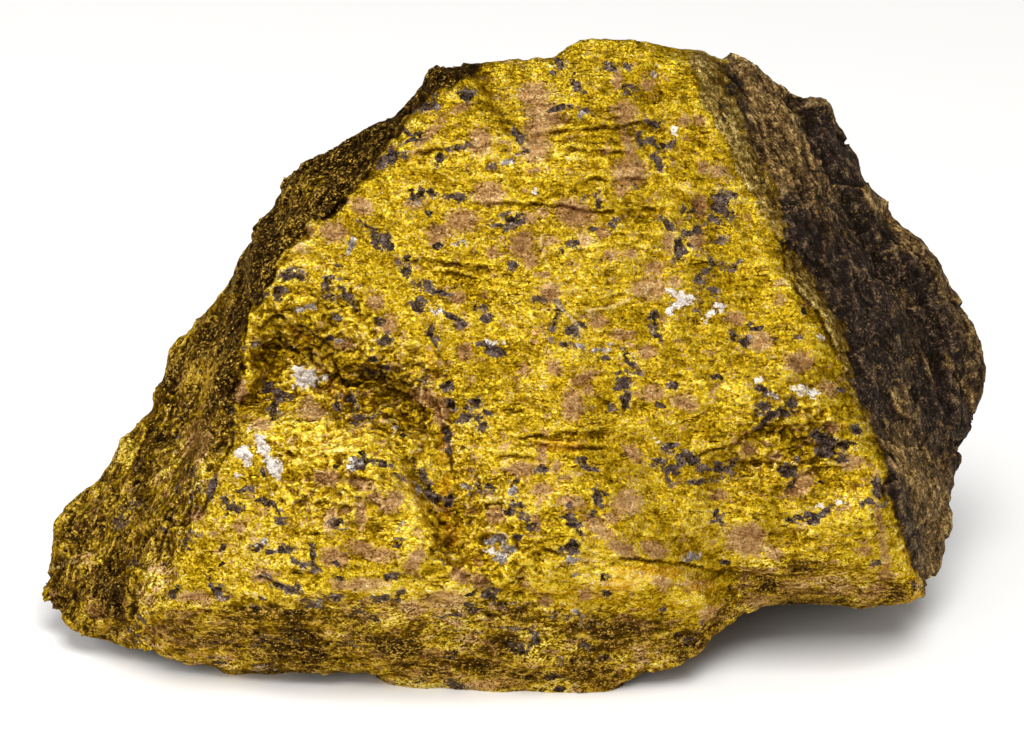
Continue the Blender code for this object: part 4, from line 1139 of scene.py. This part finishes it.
        # pale grains, partly painted highlight streaks on the lower left lobe
        white_share = wire.span(self.mix(0.04, white=1.0, edge=1.0), 0.0, 0.04)
        thread_share = wire.math("MULTIPLY", self["thread"], 0.8)
        worn_share = wire.span(wear, 0.32, 0.52)
        bronze = wire.ramp(self["tone"], BRONZE)
        strip = wire.ramp(self.mix(-0.6, tone=1.0, grit=1.2), STRIP)
        plate = wire.ramp(self.mix(-0.80, speck=1.0), PLATE)
        silver = wire.ramp(self.mix(-0.74, speck=1.0), SILVER)
        white = wire.ramp(self.mix(-0.64, speck=1.0), WHITE)
        tarnish = wire.ramp(self.mix(-0.10, tone=1.2), TARNISH)
        worn = wire.blend(self["rind"], tarnish, self.crust())
        worn_metal = wire.span(self["rind"], 0.0, 1.0, 0.7, 0.1)
        worn_roughness = wire.span(self["rind"], 0.0, 1.0, 0.5, 0.72)
        return (
            (bronze_share, bronze, 0.85, 0.5),
            (strip_share, strip, 0.6, 0.5),
            (plate_share, plate, 0.4, 0.4),
            (silver_share, silver, 0.6, 0.4),
            (white_share, white, 0.0, 0.5),
            (thread_share, THREAD, 0.2, 0.5),
            (worn_share, worn, worn_metal, worn_roughness),
        )

    def surface(self):
        """Which way each speck faces: a fine felt of fibres, and little leaves tilted at random."""
        wire = self.wire
        bump = wire.add("ShaderNodeBump")
        height = self.mix(0.0, fleck=0.20, felt=0.30, fibre=0.44)
        wire.feed_named(bump, {"Strength": 1.0, "Distance": BUMP_HEIGHT, "Height": height})
        tilt = wire.vector("SUBTRACT", self.leaf_colour, (0.5, 0.5, 0.5))
        tilt = wire.add("ShaderNodeVectorMath", tilt, operation="SCALE")
        wire.feed_named(tilt, {"Scale": wire.between(self["rind"], 0.85, 0.4)})
        return wire.vector("NORMALIZE", wire.vector("ADD", bump.outputs[0], tilt.outputs[0]))


def ore_finish():
    """The one material of the lump: gold, what grew through it and what weathered over it."""
    material = bpy.data.materials.new("chalcopyrite_ore")
    material.use_nodes = True
    material.node_tree.nodes.clear()
    wire = Wiring(material.node_tree)
    ore = Ore(wire)
    ore.note_tones()
    colour = ore.gold()
    metal = 1.0
    rough = wire.between(ore["leaf"], 0.34, 0.48)
    for share, over, over_metal, over_rough in ore.layers():
        colour = wire.blend(share, colour, over)
        metal = wire.between(share, metal, over_metal)
        rough = wire.between(share, rough, over_rough)
    shader = wire.add("ShaderNodeBsdfPrincipled")
    wire.feed_named(shader, {
        "Base Color": colour, "Metallic": metal, "Roughness": rough, "Normal": ore.surface(),
        "Specular IOR Level": 0.12, "Specular Tint": SHEEN,
    })
    wire.add("ShaderNodeOutputMaterial", shader.outputs[0])
    return material


# ---------------------------------------------------------------- the lump

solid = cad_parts[LUMP]
skin = fine_skin(solid)
note_marks(skin)
skin.materials.clear()
skin.materials.append(ore_finish())
for face in skin.polygons:
    face.use_smooth = True
lump = bpy.data.objects.new("chalcopyrite_lump", skin)
bpy.context.scene.collection.objects.link(lump)
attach(lump, "root")
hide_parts(LUMP)

# ---------------------------------------------------------------- floor, light and camera

# The floor and the lights are in metres; the floor lies a hair under the sole.
FLOOR_RADIUS = 8.0
FLOOR_SIDES = 96
FLOOR_DROP = 0.00002
FLOOR_COLOUR = rgb(244, 243, 241)
ROOM_COLOUR = (1.0, 1.0, 1.0, 1.0)
ROOM_LIGHT = 0.32
LIGHTS_AIM = Vector((0.0, 0.0, 0.022))
# Each soft box: degrees round the lump from the front, degrees up, metres away, metres wide and watts.
SOFT_BOXES = {
    "key_box": (10, 62, 0.75, 0.42, 5.6),
    "front_box": (-25, 28, 0.9, 0.5, 1.8),
    "left_box": (-82, 30, 0.7, 0.3, 1.6),
}
LENS_MM = 150.0
SENSOR_MM = 36.0


def pale_floor():
    material = bpy.data.materials.new("pale_floor")
    material.use_nodes = True
    shader = material.node_tree.nodes["Principled BSDF"]
    shader.inputs["Base Color"].default_value = FLOOR_COLOUR
    shader.inputs["Roughness"].default_value = 0.9
    shader.inputs["Specular IOR Level"].default_value = 0.1
    return material


def add_floor():
    body = bmesh.new()
    bmesh.ops.create_circle(body, cap_ends=True, segments=FLOOR_SIDES, radius=FLOOR_RADIUS)
    mesh = bpy.data.meshes.new("floor")
    body.to_mesh(mesh)
    body.free()
    mesh.materials.append(pale_floor())
    floor = bpy.data.objects.new("floor", mesh)
    floor.location.z = -FLOOR_DROP
    bpy.context.scene.collection.objects.link(floor)


def add_soft_box(name, turn, height, away, size, watts):
    """A square soft box, turned round the lump and raised by these degrees, facing it."""
    lamp = bpy.data.lights.new(name, "AREA")
    lamp.shape = "SQUARE"
    lamp.size = size
    lamp.energy = watts
    box = bpy.data.objects.new(name, lamp)
    turn, height = math.radians(turn), math.radians(height)
    level = math.cos(height)
    way = Vector((math.sin(turn) * level, -math.cos(turn) * level, math.sin(height)))
    box.location = LIGHTS_AIM + away * way
    box.rotation_euler = way.to_track_quat("Z", "Y").to_euler()
    bpy.context.scene.collection.objects.link(box)


def light_room():
    """An even pale light from all round."""
    world = bpy.data.worlds.new("studio")
    world.use_nodes = True
    room = world.node_tree.nodes["Background"]
    room.inputs["Color"].default_value = ROOM_COLOUR
    room.inputs["Strength"].default_value = ROOM_LIGHT
    bpy.context.scene.world = world
    bpy.context.scene.view_settings.view_transform = "Standard"


def add_camera():
    """A long lens at the eye's place, square to the big face."""
    lens = bpy.data.cameras.new("camera")
    lens.lens = LENS_MM
    lens.sensor_width = SENSOR_MM
    camera = bpy.data.objects.new("camera", lens)
    bpy.context.scene.collection.objects.link(camera)
    eye = to_row(np.array((0.0, EYE_UP, EYE_OUT)))
    camera.matrix_world = Matrix.Translation(Vector(eye)) @ Matrix(FACE_AXES.T.tolist()).to_4x4()
    bpy.context.scene.camera = camera


add_floor()
for name, settings in SOFT_BOXES.items():
    add_soft_box(name, *settings)
light_room()
add_camera()

bpy.context.view_layer.update()
